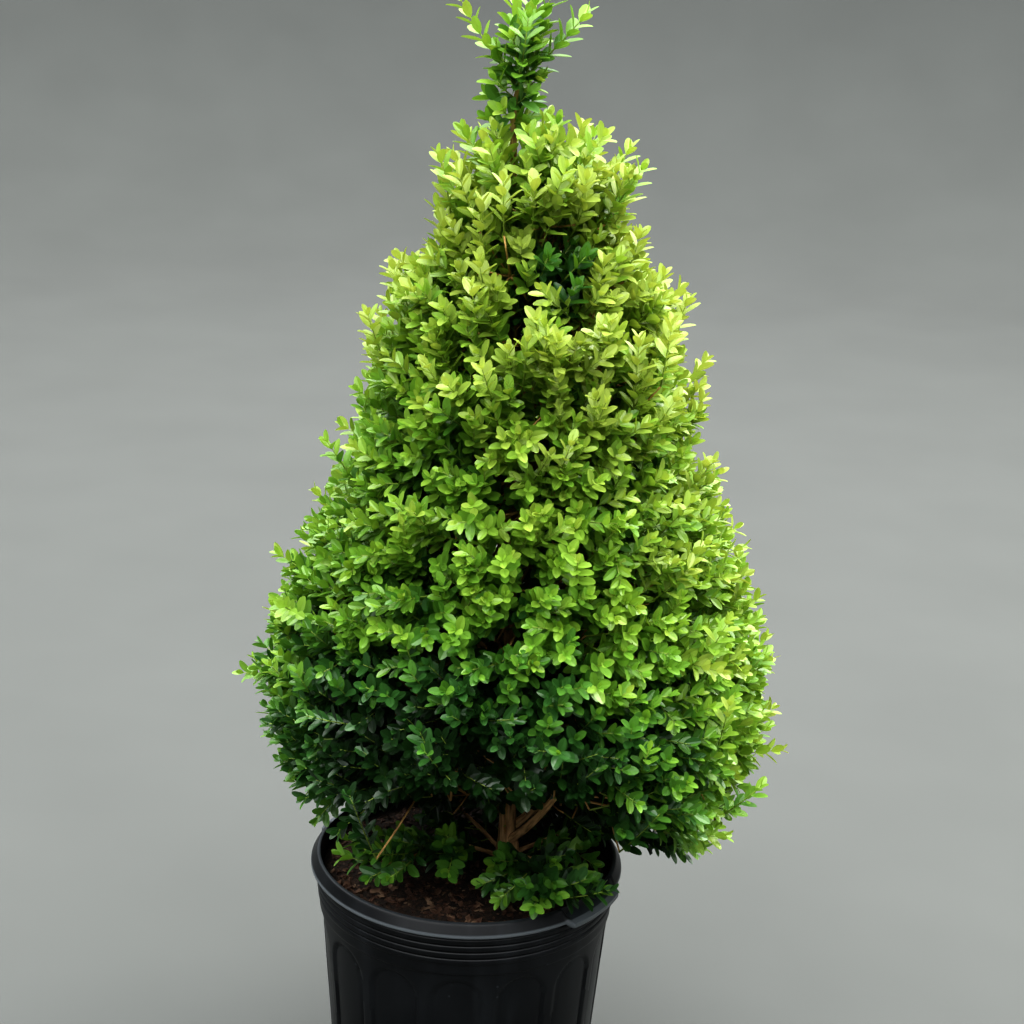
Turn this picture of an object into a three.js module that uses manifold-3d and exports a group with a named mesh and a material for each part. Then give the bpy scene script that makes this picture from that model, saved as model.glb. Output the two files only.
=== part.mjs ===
// Boxwood clipped as a cone, growing in a black nursery pot.
// Millimetres, +Z up. The origin is the centre of the pot's flat underside.
// The front, which the plant is looked at from, is towards -Y.
import * as THREE from "three";
import { mergeVertices } from "three/addons/utils/BufferGeometryUtils.js";
import Module from "manifold-3d";

const wasm = await Module();
wasm.setup();

// Pot.
const RIM_RADIUS = 178;
const POT_HEIGHT = 325;
const MOUTH_RADIUS = 167;
const WALL = 5;
const POT_SIDES = 28;
const FOOT_RADIUS = 150;
const FOOT_HEIGHT = 16;
const BODY_TOP = 258;
const BODY_FOOT_RADIUS = 147.5;
const BODY_TOP_RADIUS = 165.5;
const RING_COUNT = 3;
const RING_PITCH = 15;
const RING_RISE = 2.6;
const PANEL_COUNT = 14;
const PANEL_PHASE = 11.9;
const PANEL_WIDTH = 57;
const PANEL_FOOT = 30;
const PANEL_TOP = 250;
const PANEL_DEPTH = 2;
const GRIP_AZIMUTH = -34;
const GRIP_LENGTH = 104;
const DRAIN_COUNT = 7;
const DRAIN_WIDTH = 24;
const DRAIN_HEIGHT = 9;

// Soil, and how far any two pieces that touch stay apart.
const SOIL_TOP = 303;
const SEAT_GAP = 0.4;
const FINEST_EDGE = 0.02;

// Trunk: it leans a little to the left as it rises through the crown.
const CROWN_X = 48;
const TRUNK_FOOT_X = 46;
const TRUNK_LEAN = 26;
const TRUNK_BOW = 7;
const TRUNK_TIP_Z = 1165;
const TRUNK_RADIUS = 10;
const TRUNK_TIP_RADIUS = 3;
const TRUNK_SIDES = 8;
const BOUGH_SIDES = 6;
const LOW_BOUGH_SIDES = 5;
const FLARE = 8;
const FLARE_HEIGHT = 16;

// Crown: how far its leaf tips reach from the crown's axis at each height where that turns.
const CROWN_OUTLINE = [
  [365, 225],
  [400, 272],
  [490, 298],
  [590, 285],
  [667, 262],
  [745, 228],
  [810, 200],
  [920, 173],
  [974, 158],
  [1015, 128],
  [1063, 106],
  [1130, 82],
  [1172, 40],
];
const CORE_DEPTH = 80;
const CORE_DEPTH_SHARE = 0.4;
const CORE_BOTTOM = 426;
const CORE_TOP = 1138;
const CORE_ROW = 54;
const CORE_SIDES = 22;
const CORE_LUMPS = 0.2;
const NOTCH = { azimuth: -52, out: 78, z: 992, size: 42 };

// Tiers of the crown, split by cones that rise outwards as the twigs do.
const TIER_SPLITS = [
  { name: "crown_lower", z: 458, slope: 0.45 },
  { name: "crown_middle", z: 615, slope: 0.6 },
  { name: "crown_upper", z: 806, slope: 0.8 },
];
const SKIRT_HEM = { inner: 402, outer: 352, from: 120, to: 215 };

// In front the hem is lifted, and the stems show under it.
const HEM_LIFT = { azimuth: -95, width: 50, rise: 135, from: 70, to: 170 };
const HEM_HOLLOW = { out: 205, z: 425, across: 150, deep: 112, high: 84 };

// Leaves stand for small sprays of the real ones, so they are larger than life.
const LEAF_LENGTH = 58;
const LEAF_WIDTH = 29;
const LEAF_THICKNESS = 2.6;
const LEAF_ROOT = 1;
const LEAF_ANGLE = 52;
const LEAF_ROLL = 50;
const PAIR_PLACES = [0.5, 0.76];
const TWIG_RADIUS = 2.6;
const TWIG_LENGTH = 74;
const CROWN_SPRAYS = 82;
const HEM_MARGIN = 38;
const TIP_MARGIN = 18;
const STRAY_EVERY = 3;
const STRAY_FIRST = 1;
const STRAY_REACH = 16;
const GOLDEN_ANGLE = Math.PI * (3 - Math.sqrt(5));

// Boughs that carry the skirt, and thin low boughs with open sprays over the rim.
const BOUGH_COUNT = 5;
const BOUGH_PHASE = -56;
const BOUGH_RADIUS = 5.2;
const LOW_COUNT = 5;
const LOW_RADIUS = 2.8;
const LOW_REACH = 84;
const LOW_LEAF_SHARE = 0.72;
const LOW_BOUGH_TIP_Z = 358;
const LOW_SPRAY_DROOP = 50;
const LIMB_CLEARANCE = 5;

// The leader's open tuft on the trunk's tip.
const TUFT_STEM = 62;
const TUFT_TILT = 78;
const TUFT_LEAF_SHARE = 0.66;

const DEGREE = Math.PI / 180;
const UP = new THREE.Vector3(0, 0, 1);

// Deals numbers from 0 to 1, the same ones for the same seed.
function seededDraws(seed) {
  let state = seed;
  return () => {
    state = (state + 0x6d2b79f5) | 0;
    let mixed = Math.imul(state ^ (state >>> 15), 1 | state);
    mixed = (mixed + Math.imul(mixed ^ (mixed >>> 7), 61 | mixed)) ^ mixed;
    return ((mixed ^ (mixed >>> 14)) >>> 0) / 4294967296;
  };
}

// A closed three.js shape, as a solid that can be joined and cut.
function solidOf(geometry, matrix = new THREE.Matrix4()) {
  const bare = geometry.clone();
  bare.deleteAttribute("normal");
  bare.deleteAttribute("uv");
  const merged = mergeVertices(bare.applyMatrix4(matrix), 1e-4);
  return new wasm.Manifold(new wasm.Mesh({
    numProp: 3,
    vertProperties: new Float32Array(merged.attributes.position.array),
    triVerts: new Uint32Array(merged.index.array),
  }));
}

// The largest closed body of a solid: loose scraps go, and a sealed hollow is filled.
function mainBody(solid) {
  const bodies = solid.asOriginal().simplify(FINEST_EDGE).decompose();
  bodies.sort((one, other) => other.volume() - one.volume());
  return bodies[0];
}

function geometryOf(solid) {
  const mesh = mainBody(solid).getMesh();
  const geometry = new THREE.BufferGeometry();
  geometry.setAttribute("position", new THREE.BufferAttribute(new Float32Array(mesh.vertProperties), 3));
  geometry.setIndex(new THREE.BufferAttribute(new Uint32Array(mesh.triVerts), 1));
  geometry.computeVertexNormals();
  return geometry;
}

function smoothStep(from, to, value) {
  const share = Math.min(Math.max((value - from) / (to - from), 0), 1);
  return share * share * (3 - 2 * share);
}

// A turned shape about the Z axis, from a profile of [radius, height] points.
function turned(profile, sides) {
  const points = profile.map(([radius, z]) => new THREE.Vector2(radius, z));
  return new THREE.LatheGeometry(points, sides).rotateX(Math.PI / 2);
}

function bodyRadiusAt(z) {
  return THREE.MathUtils.mapLinear(z, FOOT_HEIGHT, BODY_TOP, BODY_FOOT_RADIUS, BODY_TOP_RADIUS);
}

// The outside of the pot from its foot to its mouth: foot band, body, rings and sloping lip.
function potOutline() {
  const outline = [
    [FOOT_RADIUS - 1, 0],
    [FOOT_RADIUS, 3],
    [FOOT_RADIUS, FOOT_HEIGHT - 1],
    [BODY_FOOT_RADIUS, FOOT_HEIGHT],
    [BODY_TOP_RADIUS, BODY_TOP],
  ];
  for (let ring = 0; ring < RING_COUNT; ring += 1) {
    const foot = BODY_TOP + ring * RING_PITCH;
    const radius = BODY_TOP_RADIUS + 1 + ring * 1.2;
    outline.push([radius + RING_RISE, foot + 2]);
    outline.push([radius + RING_RISE, foot + RING_PITCH - 4]);
    outline.push([radius + 0.6, foot + RING_PITCH - 1]);
  }
  outline.push([RIM_RADIUS - 5, POT_HEIGHT - 17]);
  outline.push([RIM_RADIUS, POT_HEIGHT - 15]);
  outline.push([RIM_RADIUS, POT_HEIGHT - 12]);
  outline.push([MOUTH_RADIUS + 4, POT_HEIGHT]);
  return outline;
}

function wallInsideAt(z) {
  return bodyRadiusAt(z) - WALL;
}

// One arch-topped panel's outline, standing up against the pot's side.
function panelOutline() {
  const half = PANEL_WIDTH / 2;
  const shape = new THREE.Shape();
  shape.moveTo(-half, PANEL_FOOT);
  shape.lineTo(half, PANEL_FOOT);
  shape.lineTo(half, PANEL_TOP - half);
  shape.absarc(0, PANEL_TOP - half, half, 0, Math.PI, false);
  return shape;
}

// Turns a block modelled at the front, towards -Y, to the azimuth in degrees from +X.
function turnTo(azimuth) {
  return new THREE.Matrix4().makeRotationZ((azimuth + 90) * DEGREE);
}

function buildPot() {
  const inside = [
    [MOUTH_RADIUS, POT_HEIGHT],
    [wallInsideAt(BODY_TOP), BODY_TOP - 8],
    [wallInsideAt(WALL), WALL],
    [0, WALL],
  ];
  let pot = solidOf(turned([[0, 0], ...potOutline(), ...inside], POT_SIDES));
  const sleeve = [
    [bodyRadiusAt(PANEL_FOOT) - PANEL_DEPTH, PANEL_FOOT - 10],
    [bodyRadiusAt(PANEL_FOOT) + 20, PANEL_FOOT - 10],
    [bodyRadiusAt(PANEL_TOP) + 20, PANEL_TOP + 5],
    [bodyRadiusAt(PANEL_TOP) - PANEL_DEPTH, PANEL_TOP + 5],
    [bodyRadiusAt(PANEL_FOOT) - PANEL_DEPTH, PANEL_FOOT - 10],
  ];
  const sleeveSolid = solidOf(turned(sleeve, POT_SIDES));
  const arch = new THREE.ExtrudeGeometry(panelOutline(), { depth: 50, bevelEnabled: false, curveSegments: 5 });
  arch.rotateX(Math.PI / 2);
  arch.translate(0, -BODY_FOOT_RADIUS + 20, 0);
  for (let panel = 0; panel < PANEL_COUNT; panel += 1) {
    const azimuth = (360 / PANEL_COUNT) * panel + PANEL_PHASE;
    pot = pot.subtract(solidOf(arch, turnTo(azimuth)).intersect(sleeveSolid));
  }
  for (let drain = 0; drain < DRAIN_COUNT; drain += 1) {
    const notch = new THREE.BoxGeometry(DRAIN_WIDTH, 24, DRAIN_HEIGHT);
    notch.translate(0, -FOOT_RADIUS, WALL + DRAIN_HEIGHT / 2);
    pot = pot.subtract(solidOf(notch, turnTo((360 / DRAIN_COUNT) * drain)));
  }
  for (const azimuth of [GRIP_AZIMUTH, GRIP_AZIMUTH + 180]) {
    const ledge = new THREE.SphereGeometry(1, 14, 8);
    ledge.scale(GRIP_LENGTH / 2, 9, 6);
    ledge.translate(0, -RIM_RADIUS + 6.5, POT_HEIGHT - 19);
    const scoop = new THREE.SphereGeometry(1, 14, 8);
    scoop.scale(GRIP_LENGTH / 2, 15, 15);
    scoop.translate(0, -RIM_RADIUS - 5, POT_HEIGHT);
    pot = pot.add(solidOf(ledge, turnTo(azimuth)));
    pot = pot.subtract(solidOf(scoop, turnTo(azimuth)));
  }
  return pot;
}

// Soil fills the pot to just under its mouth, flat round the stem and a little heaped further out.
function buildSoil() {
  const floor = WALL + SEAT_GAP;
  const profile = [
    [0, floor],
    [wallInsideAt(floor) - SEAT_GAP, floor],
    [wallInsideAt(BODY_TOP) - SEAT_GAP, BODY_TOP - 8],
    [wallInsideAt(SOIL_TOP) - 2, SOIL_TOP - 4],
    [130, SOIL_TOP + 3],
    [84, SOIL_TOP - 1],
    [0, SOIL_TOP],
  ];
  return solidOf(turned(profile, POT_SIDES));
}

function trunkPoint(z) {
  const share = (z - SOIL_TOP) / (TRUNK_TIP_Z - SOIL_TOP);
  const x = TRUNK_FOOT_X - TRUNK_LEAN * share ** 1.3;
  return new THREE.Vector3(x, TRUNK_BOW * Math.sin(Math.PI * share), z);
}

function trunkRadius(z) {
  const share = (z - SOIL_TOP) / (TRUNK_TIP_Z - SOIL_TOP);
  const flare = FLARE * Math.exp(-(z - SOIL_TOP) / FLARE_HEIGHT);
  return THREE.MathUtils.lerp(TRUNK_RADIUS, TRUNK_TIP_RADIUS, share) + flare;
}

// A limb's path as points, each with the limb's radius there.
function trunkPath() {
  const heights = [0, 7, 20, 60];
  for (let rise = 160; rise < TRUNK_TIP_Z - SOIL_TOP - 40; rise += 100) {
    heights.push(rise);
  }
  heights.push(TRUNK_TIP_Z - SOIL_TOP - SEAT_GAP);
  return heights.map((rise) => {
    const z = SOIL_TOP + SEAT_GAP + rise;
    return { point: trunkPoint(z), radius: trunkRadius(z) };
  });
}

// A bough's path: out of the trunk at one height, bending up or over to its tip.
function boughPath(rootZ, tip, lift, radius, tipRadius, steps) {
  const root = trunkPoint(rootZ);
  const elbow = root.clone().lerp(tip, 0.5);
  elbow.z += lift;
  const curve = new THREE.QuadraticBezierCurve3(root, elbow, tip);
  return curve.getPoints(steps).map((point, index) => (
    { point, radius: THREE.MathUtils.lerp(radius, tipRadius, index / steps) }
  ));
}

// A closed tapering limb along a path: a cylinder whose rings are moved onto it.
function limb(path, sides, spare = 0) {
  const steps = path.length - 1;
  const geometry = new THREE.CylinderGeometry(1, 1, 1, sides, steps);
  const position = geometry.attributes.position;
  for (let index = 0; index < position.count; index += 1) {
    const step = Math.round((position.getY(index) + 0.5) * steps);
    const before = path[Math.max(step - 1, 0)].point;
    const after = path[Math.min(step + 1, steps)].point;
    const along = after.clone().sub(before).normalize();
    const side = new THREE.Vector3(0, 1, 0).cross(along);
    side.normalize();
    const front = side.clone().cross(along);
    const radius = path[step].radius + spare;
    const point = path[step].point.clone();
    point.addScaledVector(side, position.getX(index) * radius);
    point.addScaledVector(front, position.getZ(index) * radius);
    position.setXYZ(index, point.x, point.y, point.z);
  }
  return solidOf(geometry);
}

function outlineAt(z) {
  let row = 1;
  while (row < CROWN_OUTLINE.length - 1 && CROWN_OUTLINE[row][0] < z) {
    row += 1;
  }
  const [lowZ, lowRadius] = CROWN_OUTLINE[row - 1];
  const [highZ, highRadius] = CROWN_OUTLINE[row];
  return THREE.MathUtils.mapLinear(z, lowZ, highZ, lowRadius, highRadius);
}

function coreRadiusAt(z) {
  const hem = smoothStep(CORE_BOTTOM - 60, CORE_BOTTOM + 60, z);
  const cap = Math.sqrt(Math.max(0, Math.min(1, (CORE_TOP - z) / 60)));
  const outline = outlineAt(z);
  const radius = outline - Math.min(CORE_DEPTH, CORE_DEPTH_SHARE * outline);
  return radius * hem * (0.3 + 0.7 * cap);
}

// The dense inside of the clipped crown, a little lumpy, with a hollow where twigs are bare.
function buildCore(draw) {
  const profile = [[0, CORE_BOTTOM + 12]];
  const rows = Math.round((CORE_TOP - CORE_BOTTOM) / CORE_ROW);
  for (let row = 0; row <= rows; row += 1) {
    const z = THREE.MathUtils.lerp(CORE_BOTTOM, CORE_TOP, row / rows);
    profile.push([coreRadiusAt(z), z]);
  }
  profile.push([0, CORE_TOP + 3]);
  const geometry = turned(profile, CORE_SIDES);
  geometry.deleteAttribute("normal");
  geometry.deleteAttribute("uv");
  const merged = mergeVertices(geometry, 1e-3);
  const position = merged.attributes.position;
  for (let index = 0; index < position.count; index += 1) {
    const swell = 1 + CORE_LUMPS * (draw() - 0.5);
    position.setX(index, position.getX(index) * swell + CROWN_X);
    position.setY(index, position.getY(index) * swell);
  }
  const notch = new THREE.SphereGeometry(NOTCH.size, 10, 6);
  notch.translate(
    CROWN_X + NOTCH.out * Math.cos(NOTCH.azimuth * DEGREE),
    NOTCH.out * Math.sin(NOTCH.azimuth * DEGREE),
    NOTCH.z,
  );
  const azimuth = HEM_LIFT.azimuth * DEGREE;
  const hollow = new THREE.SphereGeometry(1, 14, 8);
  hollow.scale(HEM_HOLLOW.deep, HEM_HOLLOW.across, HEM_HOLLOW.high);
  hollow.rotateZ(azimuth);
  hollow.translate(
    CROWN_X + HEM_HOLLOW.out * Math.cos(azimuth),
    HEM_HOLLOW.out * Math.sin(azimuth),
    HEM_HOLLOW.z,
  );
  return solidOf(merged).subtract(solidOf(notch)).subtract(solidOf(hollow));
}

// Everything above a cone that rises outwards from height z on the crown's axis.
function aboveCone(z, slope) {
  const reach = 420;
  const height = reach * slope;
  const geometry = new THREE.ConeGeometry(reach, height, 24);
  geometry.rotateX(-Math.PI / 2);
  geometry.translate(CROWN_X, 0, z + height / 2);
  const block = new THREE.CylinderGeometry(reach, reach, 900, 24);
  block.rotateX(-Math.PI / 2);
  block.translate(CROWN_X, 0, z + height + 449);
  return solidOf(geometry).add(solidOf(block));
}

function crownRadius(point) {
  return Math.hypot(point.x - CROWN_X, point.y);
}

// The angle from the crown's axis to a point, off a given azimuth either way.
function turnOff(point, azimuth) {
  const turn = Math.atan2(point.y, point.x - CROWN_X) - azimuth;
  return Math.abs(Math.atan2(Math.sin(turn), Math.cos(turn)));
}

function hemAt(radius) {
  const drop = smoothStep(SKIRT_HEM.from, SKIRT_HEM.to, radius);
  return THREE.MathUtils.lerp(SKIRT_HEM.inner, SKIRT_HEM.outer, drop);
}

function hemLiftAt(point) {
  const share = turnOff(point, HEM_LIFT.azimuth * DEGREE) / (HEM_LIFT.width * DEGREE);
  const outside = smoothStep(HEM_LIFT.from, HEM_LIFT.to, crownRadius(point));
  return HEM_LIFT.rise * outside * Math.exp(-share * share);
}

// Height over a split cone, measured along the axis.
function overSplit(split, point) {
  return point.z - split.z - split.slope * crownRadius(point);
}

// The space of tier number k, from the skirt up, with a margin to each neighbour.
function tierSpace(tier) {
  const below = TIER_SPLITS[tier - 1];
  const above = TIER_SPLITS[tier];
  return (point) => {
    const hem = hemAt(crownRadius(point)) + hemLiftAt(point);
    const clearBelow = below ? overSplit(below, point) > 3 : point.z > hem + 2;
    const clearAbove = above ? overSplit(above, point) < -3 : point.z < TRUNK_TIP_Z + 12;
    return clearBelow && clearAbove;
  };
}

// Places a shape made along +X, flat in XY, at a root, along a direction, with its width along side.
function frameAt(root, along, side) {
  const normal = along.clone().cross(side).normalize();
  const width = normal.clone().cross(along);
  return new THREE.Matrix4().makeBasis(along, width, normal).setPosition(root);
}

function leafSolid(root, along, side, length, thickness) {
  const scale = length / LEAF_LENGTH;
  const geometry = new THREE.OctahedronGeometry(1);
  const position = geometry.attributes.position;
  for (let index = 0; index < position.count; index += 1) {
    const end = position.getX(index);
    const x = Math.abs(end) > 0.5 ? (end > 0 ? length : 0) : length * 0.46;
    const y = (position.getY(index) * LEAF_WIDTH * scale) / 2;
    const z = (position.getZ(index) * LEAF_THICKNESS) / 2;
    position.setXYZ(index, x, y, z);
  }
  const sunk = root.clone().addScaledVector(along, -LEAF_ROOT * thickness);
  return solidOf(geometry, frameAt(sunk, along, side));
}

function leafCorners(root, along, side, length) {
  const half = (LEAF_WIDTH * length) / LEAF_LENGTH / 2;
  const middle = root.clone().addScaledVector(along, length * 0.46);
  return [
    root.clone(),
    middle.clone().addScaledVector(side, half),
    middle.clone().addScaledVector(side, -half),
    middle,
    root.clone().addScaledVector(along, length),
  ];
}

function twigSolid(root, along, side, length, radius) {
  const geometry = new THREE.CylinderGeometry(radius * 0.55, radius, length, 3);
  geometry.rotateZ(-Math.PI / 2);
  geometry.translate(length / 2, 0, 0);
  return solidOf(geometry, frameAt(root, along, side));
}

// One spray: a three-sided twig with opposite pairs of leaves, each pair turned from the last.
function growSpray(mass, root, along, length, leafLength) {
  const tip = root.clone().addScaledVector(along, length);
  if (!mass.holds([root, tip])) {
    return false;
  }
  const turn = new THREE.Quaternion().setFromAxisAngle(along, mass.draw() * Math.PI);
  const side = UP.clone().cross(along).normalize().applyQuaternion(turn);
  mass.pieces.push(twigSolid(root, along, side, length, TWIG_RADIUS * mass.thickness));
  const quarter = new THREE.Quaternion().setFromAxisAngle(along, Math.PI / 2);
  for (const place of PAIR_PLACES) {
    const node = root.clone().addScaledVector(along, length * place);
    for (const hand of [1, -1]) {
      const out = along.clone().multiplyScalar(Math.cos(LEAF_ANGLE * DEGREE));
      out.addScaledVector(side, hand * Math.sin(LEAF_ANGLE * DEGREE));
      growLeaf(mass, node, out, along, leafLength * (0.86 + 0.2 * mass.draw()));
    }
    side.applyQuaternion(quarter);
  }
  growLeaf(mass, root.clone().addScaledVector(along, length * 0.93), along.clone(), side, leafLength);
  return true;
}

// A leaf is skipped where it would leave its mass's space or touch a limb.
function growLeaf(mass, root, along, towards, length) {
  const roll = LEAF_ROLL * DEGREE * (mass.draw() - 0.5);
  const across = along.clone().cross(towards).normalize().applyAxisAngle(along, roll);
  if (mass.holds(leafCorners(root, along, across, length))) {
    mass.pieces.push(leafSolid(root, along, across, length, mass.thickness));
  }
}

function clearOfLimbs(points, limbPaths) {
  return points.every((point) => limbPaths.every((path) => {
    for (let step = 1; step < path.length; step += 1) {
      const line = new THREE.Line3(path[step - 1].point, path[step].point);
      const nearest = line.closestPointToPoint(point, true, new THREE.Vector3());
      if (nearest.distanceTo(point) < path[step - 1].radius + LIMB_CLEARANCE) {
        return false;
      }
    }
    return true;
  }));
}

// A mass collects its pieces, and knows the space it keeps to and the limbs it stays off.
function newMass(space, limbPaths, seed, thickness = 1) {
  const holds = (points) => points.every(space) && clearOfLimbs(points, limbPaths);
  return { pieces: [], holds, draw: seededDraws(seed), thickness };
}

function direction(azimuth, elevation) {
  const flat = Math.cos(elevation);
  return new THREE.Vector3(flat * Math.cos(azimuth), flat * Math.sin(azimuth), Math.sin(elevation));
}

// How steeply a twig rises out of the clipped face at a height.
function elevationAt(z) {
  const low = THREE.MathUtils.lerp(-44, 26, smoothStep(340, 560, z));
  return (low + 38 * smoothStep(700, 1150, z)) * DEGREE;
}

// Heights that share the crown's clipped face evenly among its sprays.
function evenHeights(count) {
  const step = 2;
  const areas = [0];
  const first = CROWN_OUTLINE[0][0] + HEM_MARGIN;
  const last = TRUNK_TIP_Z - TIP_MARGIN;
  for (let z = first; z < last; z += step) {
    const slant = Math.hypot(step, outlineAt(z + step) - outlineAt(z));
    areas.push(areas[areas.length - 1] + outlineAt(z) * slant);
  }
  const total = areas[areas.length - 1];
  return Array.from({ length: count }, (_, index) => {
    const wanted = (total * (index + 0.5)) / count;
    return first + step * areas.findIndex((area) => area >= wanted);
  });
}

function inNotch(point) {
  const azimuth = NOTCH.azimuth * DEGREE;
  const middle = new THREE.Vector3(
    CROWN_X + (NOTCH.out + 40) * Math.cos(azimuth),
    (NOTCH.out + 40) * Math.sin(azimuth),
    NOTCH.z,
  );
  return middle.distanceTo(point) < NOTCH.size * 0.8;
}

// The sprays that stand out of the clipped face, dealt to the tiers whose space they grow in.
function growCrown(tiers, draw) {
  evenHeights(CROWN_SPRAYS).forEach((z, index) => {
    const azimuth = index * GOLDEN_ANGLE + 0.25 * (draw() - 0.5);
    const elevation = elevationAt(z) + 0.2 * (draw() - 0.5);
    const along = direction(azimuth, elevation);
    const stray = index % STRAY_EVERY === STRAY_FIRST ? STRAY_REACH : 0;
    const reach = outlineAt(z) + 18 * (draw() - 0.4) + stray;
    const tip = new THREE.Vector3(CROWN_X + reach * Math.cos(azimuth), reach * Math.sin(azimuth), z);
    const stand = LEAF_LENGTH * 0.9;
    const length = TWIG_LENGTH * Math.min(1, 0.5 + reach / 300);
    const root = tip.clone().addScaledVector(along, -stand - length);
    if (inNotch(tip)) {
      return;
    }
    for (const lift of [0, 14, -14, 26, -26]) {
      const moved = root.clone();
      moved.z += lift;
      if (tiers.some((tier) => growSpray(tier, moved, along, length, LEAF_LENGTH))) {
        return;
      }
    }
  });
}

// An open mass: one stem from a limb's tip, with a spray at each fork and one at its end.
function growOpenMass(mass, stem, leafLength) {
  const side = new THREE.Vector3(1, 0, 0.1).cross(stem.along).normalize();
  mass.pieces.push(twigSolid(stem.root, stem.along, side, stem.length, TWIG_RADIUS * mass.thickness));
  for (let fork = 0; fork < stem.forks; fork += 1) {
    const share = THREE.MathUtils.lerp(stem.firstFork, 0.8, fork / stem.forks);
    const place = stem.root.clone().addScaledVector(stem.along, stem.length * share);
    const out = stem.along.clone().addScaledVector(side, 0.85);
    growSpray(mass, place, out.normalize(), stem.twig, leafLength);
    side.applyAxisAngle(stem.along, stem.turn);
  }
  const end = stem.root.clone().addScaledVector(stem.along, stem.length * 0.9);
  growSpray(mass, end, stem.along, stem.twig, leafLength);
}

function standardMaterial(color, roughness) {
  return new THREE.MeshStandardMaterial({ color, roughness, metalness: 0 });
}

const plastic = standardMaterial(0x23272a, 0.55);
const earth = standardMaterial(0x33241a, 0.95);
const bark = standardMaterial(0x8c6d4a, 0.85);
const foliage = standardMaterial(0x6f9c2e, 0.6);

const topiary = new THREE.Group();

function addNode(name, solid, material) {
  const mesh = new THREE.Mesh(geometryOf(solid), material);
  mesh.name = name;
  topiary.add(mesh);
}

const trunk = trunkPath();
const trunkRoom = limb(trunk, TRUNK_SIDES, SEAT_GAP);
const boughs = [];
for (let bough = 0; bough < BOUGH_COUNT; bough += 1) {
  const azimuth = (BOUGH_PHASE + (360 / BOUGH_COUNT) * bough) * DEGREE;
  const rootZ = 336 + 14 * bough;
  const tip = direction(azimuth, 0).multiplyScalar(112);
  tip.add(new THREE.Vector3(CROWN_X, 0, CORE_BOTTOM + 42));
  boughs.push(boughPath(rootZ, tip, -22, BOUGH_RADIUS, 3.4, 6));
}

const lowBoughs = [];
const lowAzimuths = [];
for (let low = 0; low < LOW_COUNT; low += 1) {
  const azimuth = (-72 + (360 / LOW_COUNT) * low) * DEGREE;
  const tip = direction(azimuth, 0).multiplyScalar(LOW_REACH);
  tip.add(new THREE.Vector3(CROWN_X, 0, LOW_BOUGH_TIP_Z));
  lowBoughs.push(boughPath(313 + 3 * (low % 2), tip, 4, LOW_RADIUS, 1.9, 4));
  lowAzimuths.push(azimuth);
}

// The tiers of the clipped crown share one core, split between them.
const draw = seededDraws(7);
const core = buildCore(draw);
const limbPaths = [trunk, ...boughs, ...lowBoughs];
const tierNames = ["crown_skirt", ...TIER_SPLITS.map((split) => split.name)];
const tiers = tierNames.map((name, tier) => newMass(tierSpace(tier), limbPaths, 21 + tier));
tiers.forEach((mass, tier) => {
  let share = core;
  if (tier > 0) {
    share = share.intersect(aboveCone(TIER_SPLITS[tier - 1].z, TIER_SPLITS[tier - 1].slope));
  }
  if (tier < TIER_SPLITS.length) {
    const split = TIER_SPLITS[tier];
    share = share.subtract(aboveCone(split.z - SEAT_GAP, split.slope));
  }
  mass.pieces.push(mainBody(share));
});
growCrown(tiers, draw);

addNode("pot", buildPot(), plastic);
addNode("soil", buildSoil(), earth);
addNode("trunk", limb(trunk, TRUNK_SIDES), bark);
boughs.forEach((path, index) => {
  addNode(`bough_${index + 1}`, limb(path, BOUGH_SIDES).subtract(trunkRoom), bark);
});
lowBoughs.forEach((path, index) => {
  addNode(`low_bough_${index + 1}`, limb(path, LOW_BOUGH_SIDES).subtract(trunkRoom), bark);
});

const limbRooms = [trunkRoom, ...boughs.map((path) => limb(path, BOUGH_SIDES, SEAT_GAP))];
tiers.forEach((mass, tier) => {
  let solid = wasm.Manifold.union(mass.pieces);
  for (const room of limbRooms) {
    solid = solid.subtract(room);
  }
  addNode(tierNames[tier], solid, foliage);
});

// Low sprays keep to their own sector, over the soil and the rim and under the skirt's hem.
lowBoughs.forEach((path, index) => {
  const azimuth = lowAzimuths[index];
  const sector = (point) => {
    const radius = crownRadius(point);
    const off = turnOff(point, azimuth);
    const fromPot = Math.hypot(point.x, point.y);
    const floor = fromPot > RIM_RADIUS + 8 ? POT_HEIGHT - LOW_SPRAY_DROOP : POT_HEIGHT + 3;
    return radius * Math.sin(Math.min(off - Math.PI / LOW_COUNT, 0)) < -1.5
      && point.z > floor && point.z < hemAt(radius) - 3;
  };
  const mass = newMass(sector, [], 60 + index, 0.8);
  const end = path[path.length - 1].point;
  const along = direction(azimuth, 3 * DEGREE);
  const root = end.clone().addScaledVector(along, SEAT_GAP + 0.2);
  const stem = { root, along, length: 84, forks: 5, firstFork: 0.1, turn: Math.PI, twig: 40 };
  growOpenMass(mass, stem, LEAF_LENGTH * LOW_LEAF_SHARE);
  addNode(`low_spray_${index + 1}`, wasm.Manifold.union(mass.pieces), foliage);
});

// The unclipped leader grows on from the trunk's tip, out of the top of the cone.
const tuft = newMass((point) => point.z > TRUNK_TIP_Z + 2, [], 91, 0.9);
const leader = {
  root: trunkPoint(TRUNK_TIP_Z + 1.1),
  along: direction(0, TUFT_TILT * DEGREE),
  length: TUFT_STEM,
  forks: 5,
  firstFork: 0.06,
  turn: GOLDEN_ANGLE,
  twig: 38,
};
growOpenMass(tuft, leader, LEAF_LENGTH * TUFT_LEAF_SHARE);
addNode("leader_tuft", wasm.Manifold.union(tuft.pieces), foliage);

export default topiary;
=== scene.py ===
"""A boxwood clipped as a cone in a black nursery pot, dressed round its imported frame."""
import math
from functools import partial

import bpy
import numpy as np
from bpy.props import FloatProperty, FloatVectorProperty, IntProperty, PointerProperty
from mathutils import Matrix, Vector, noise


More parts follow.
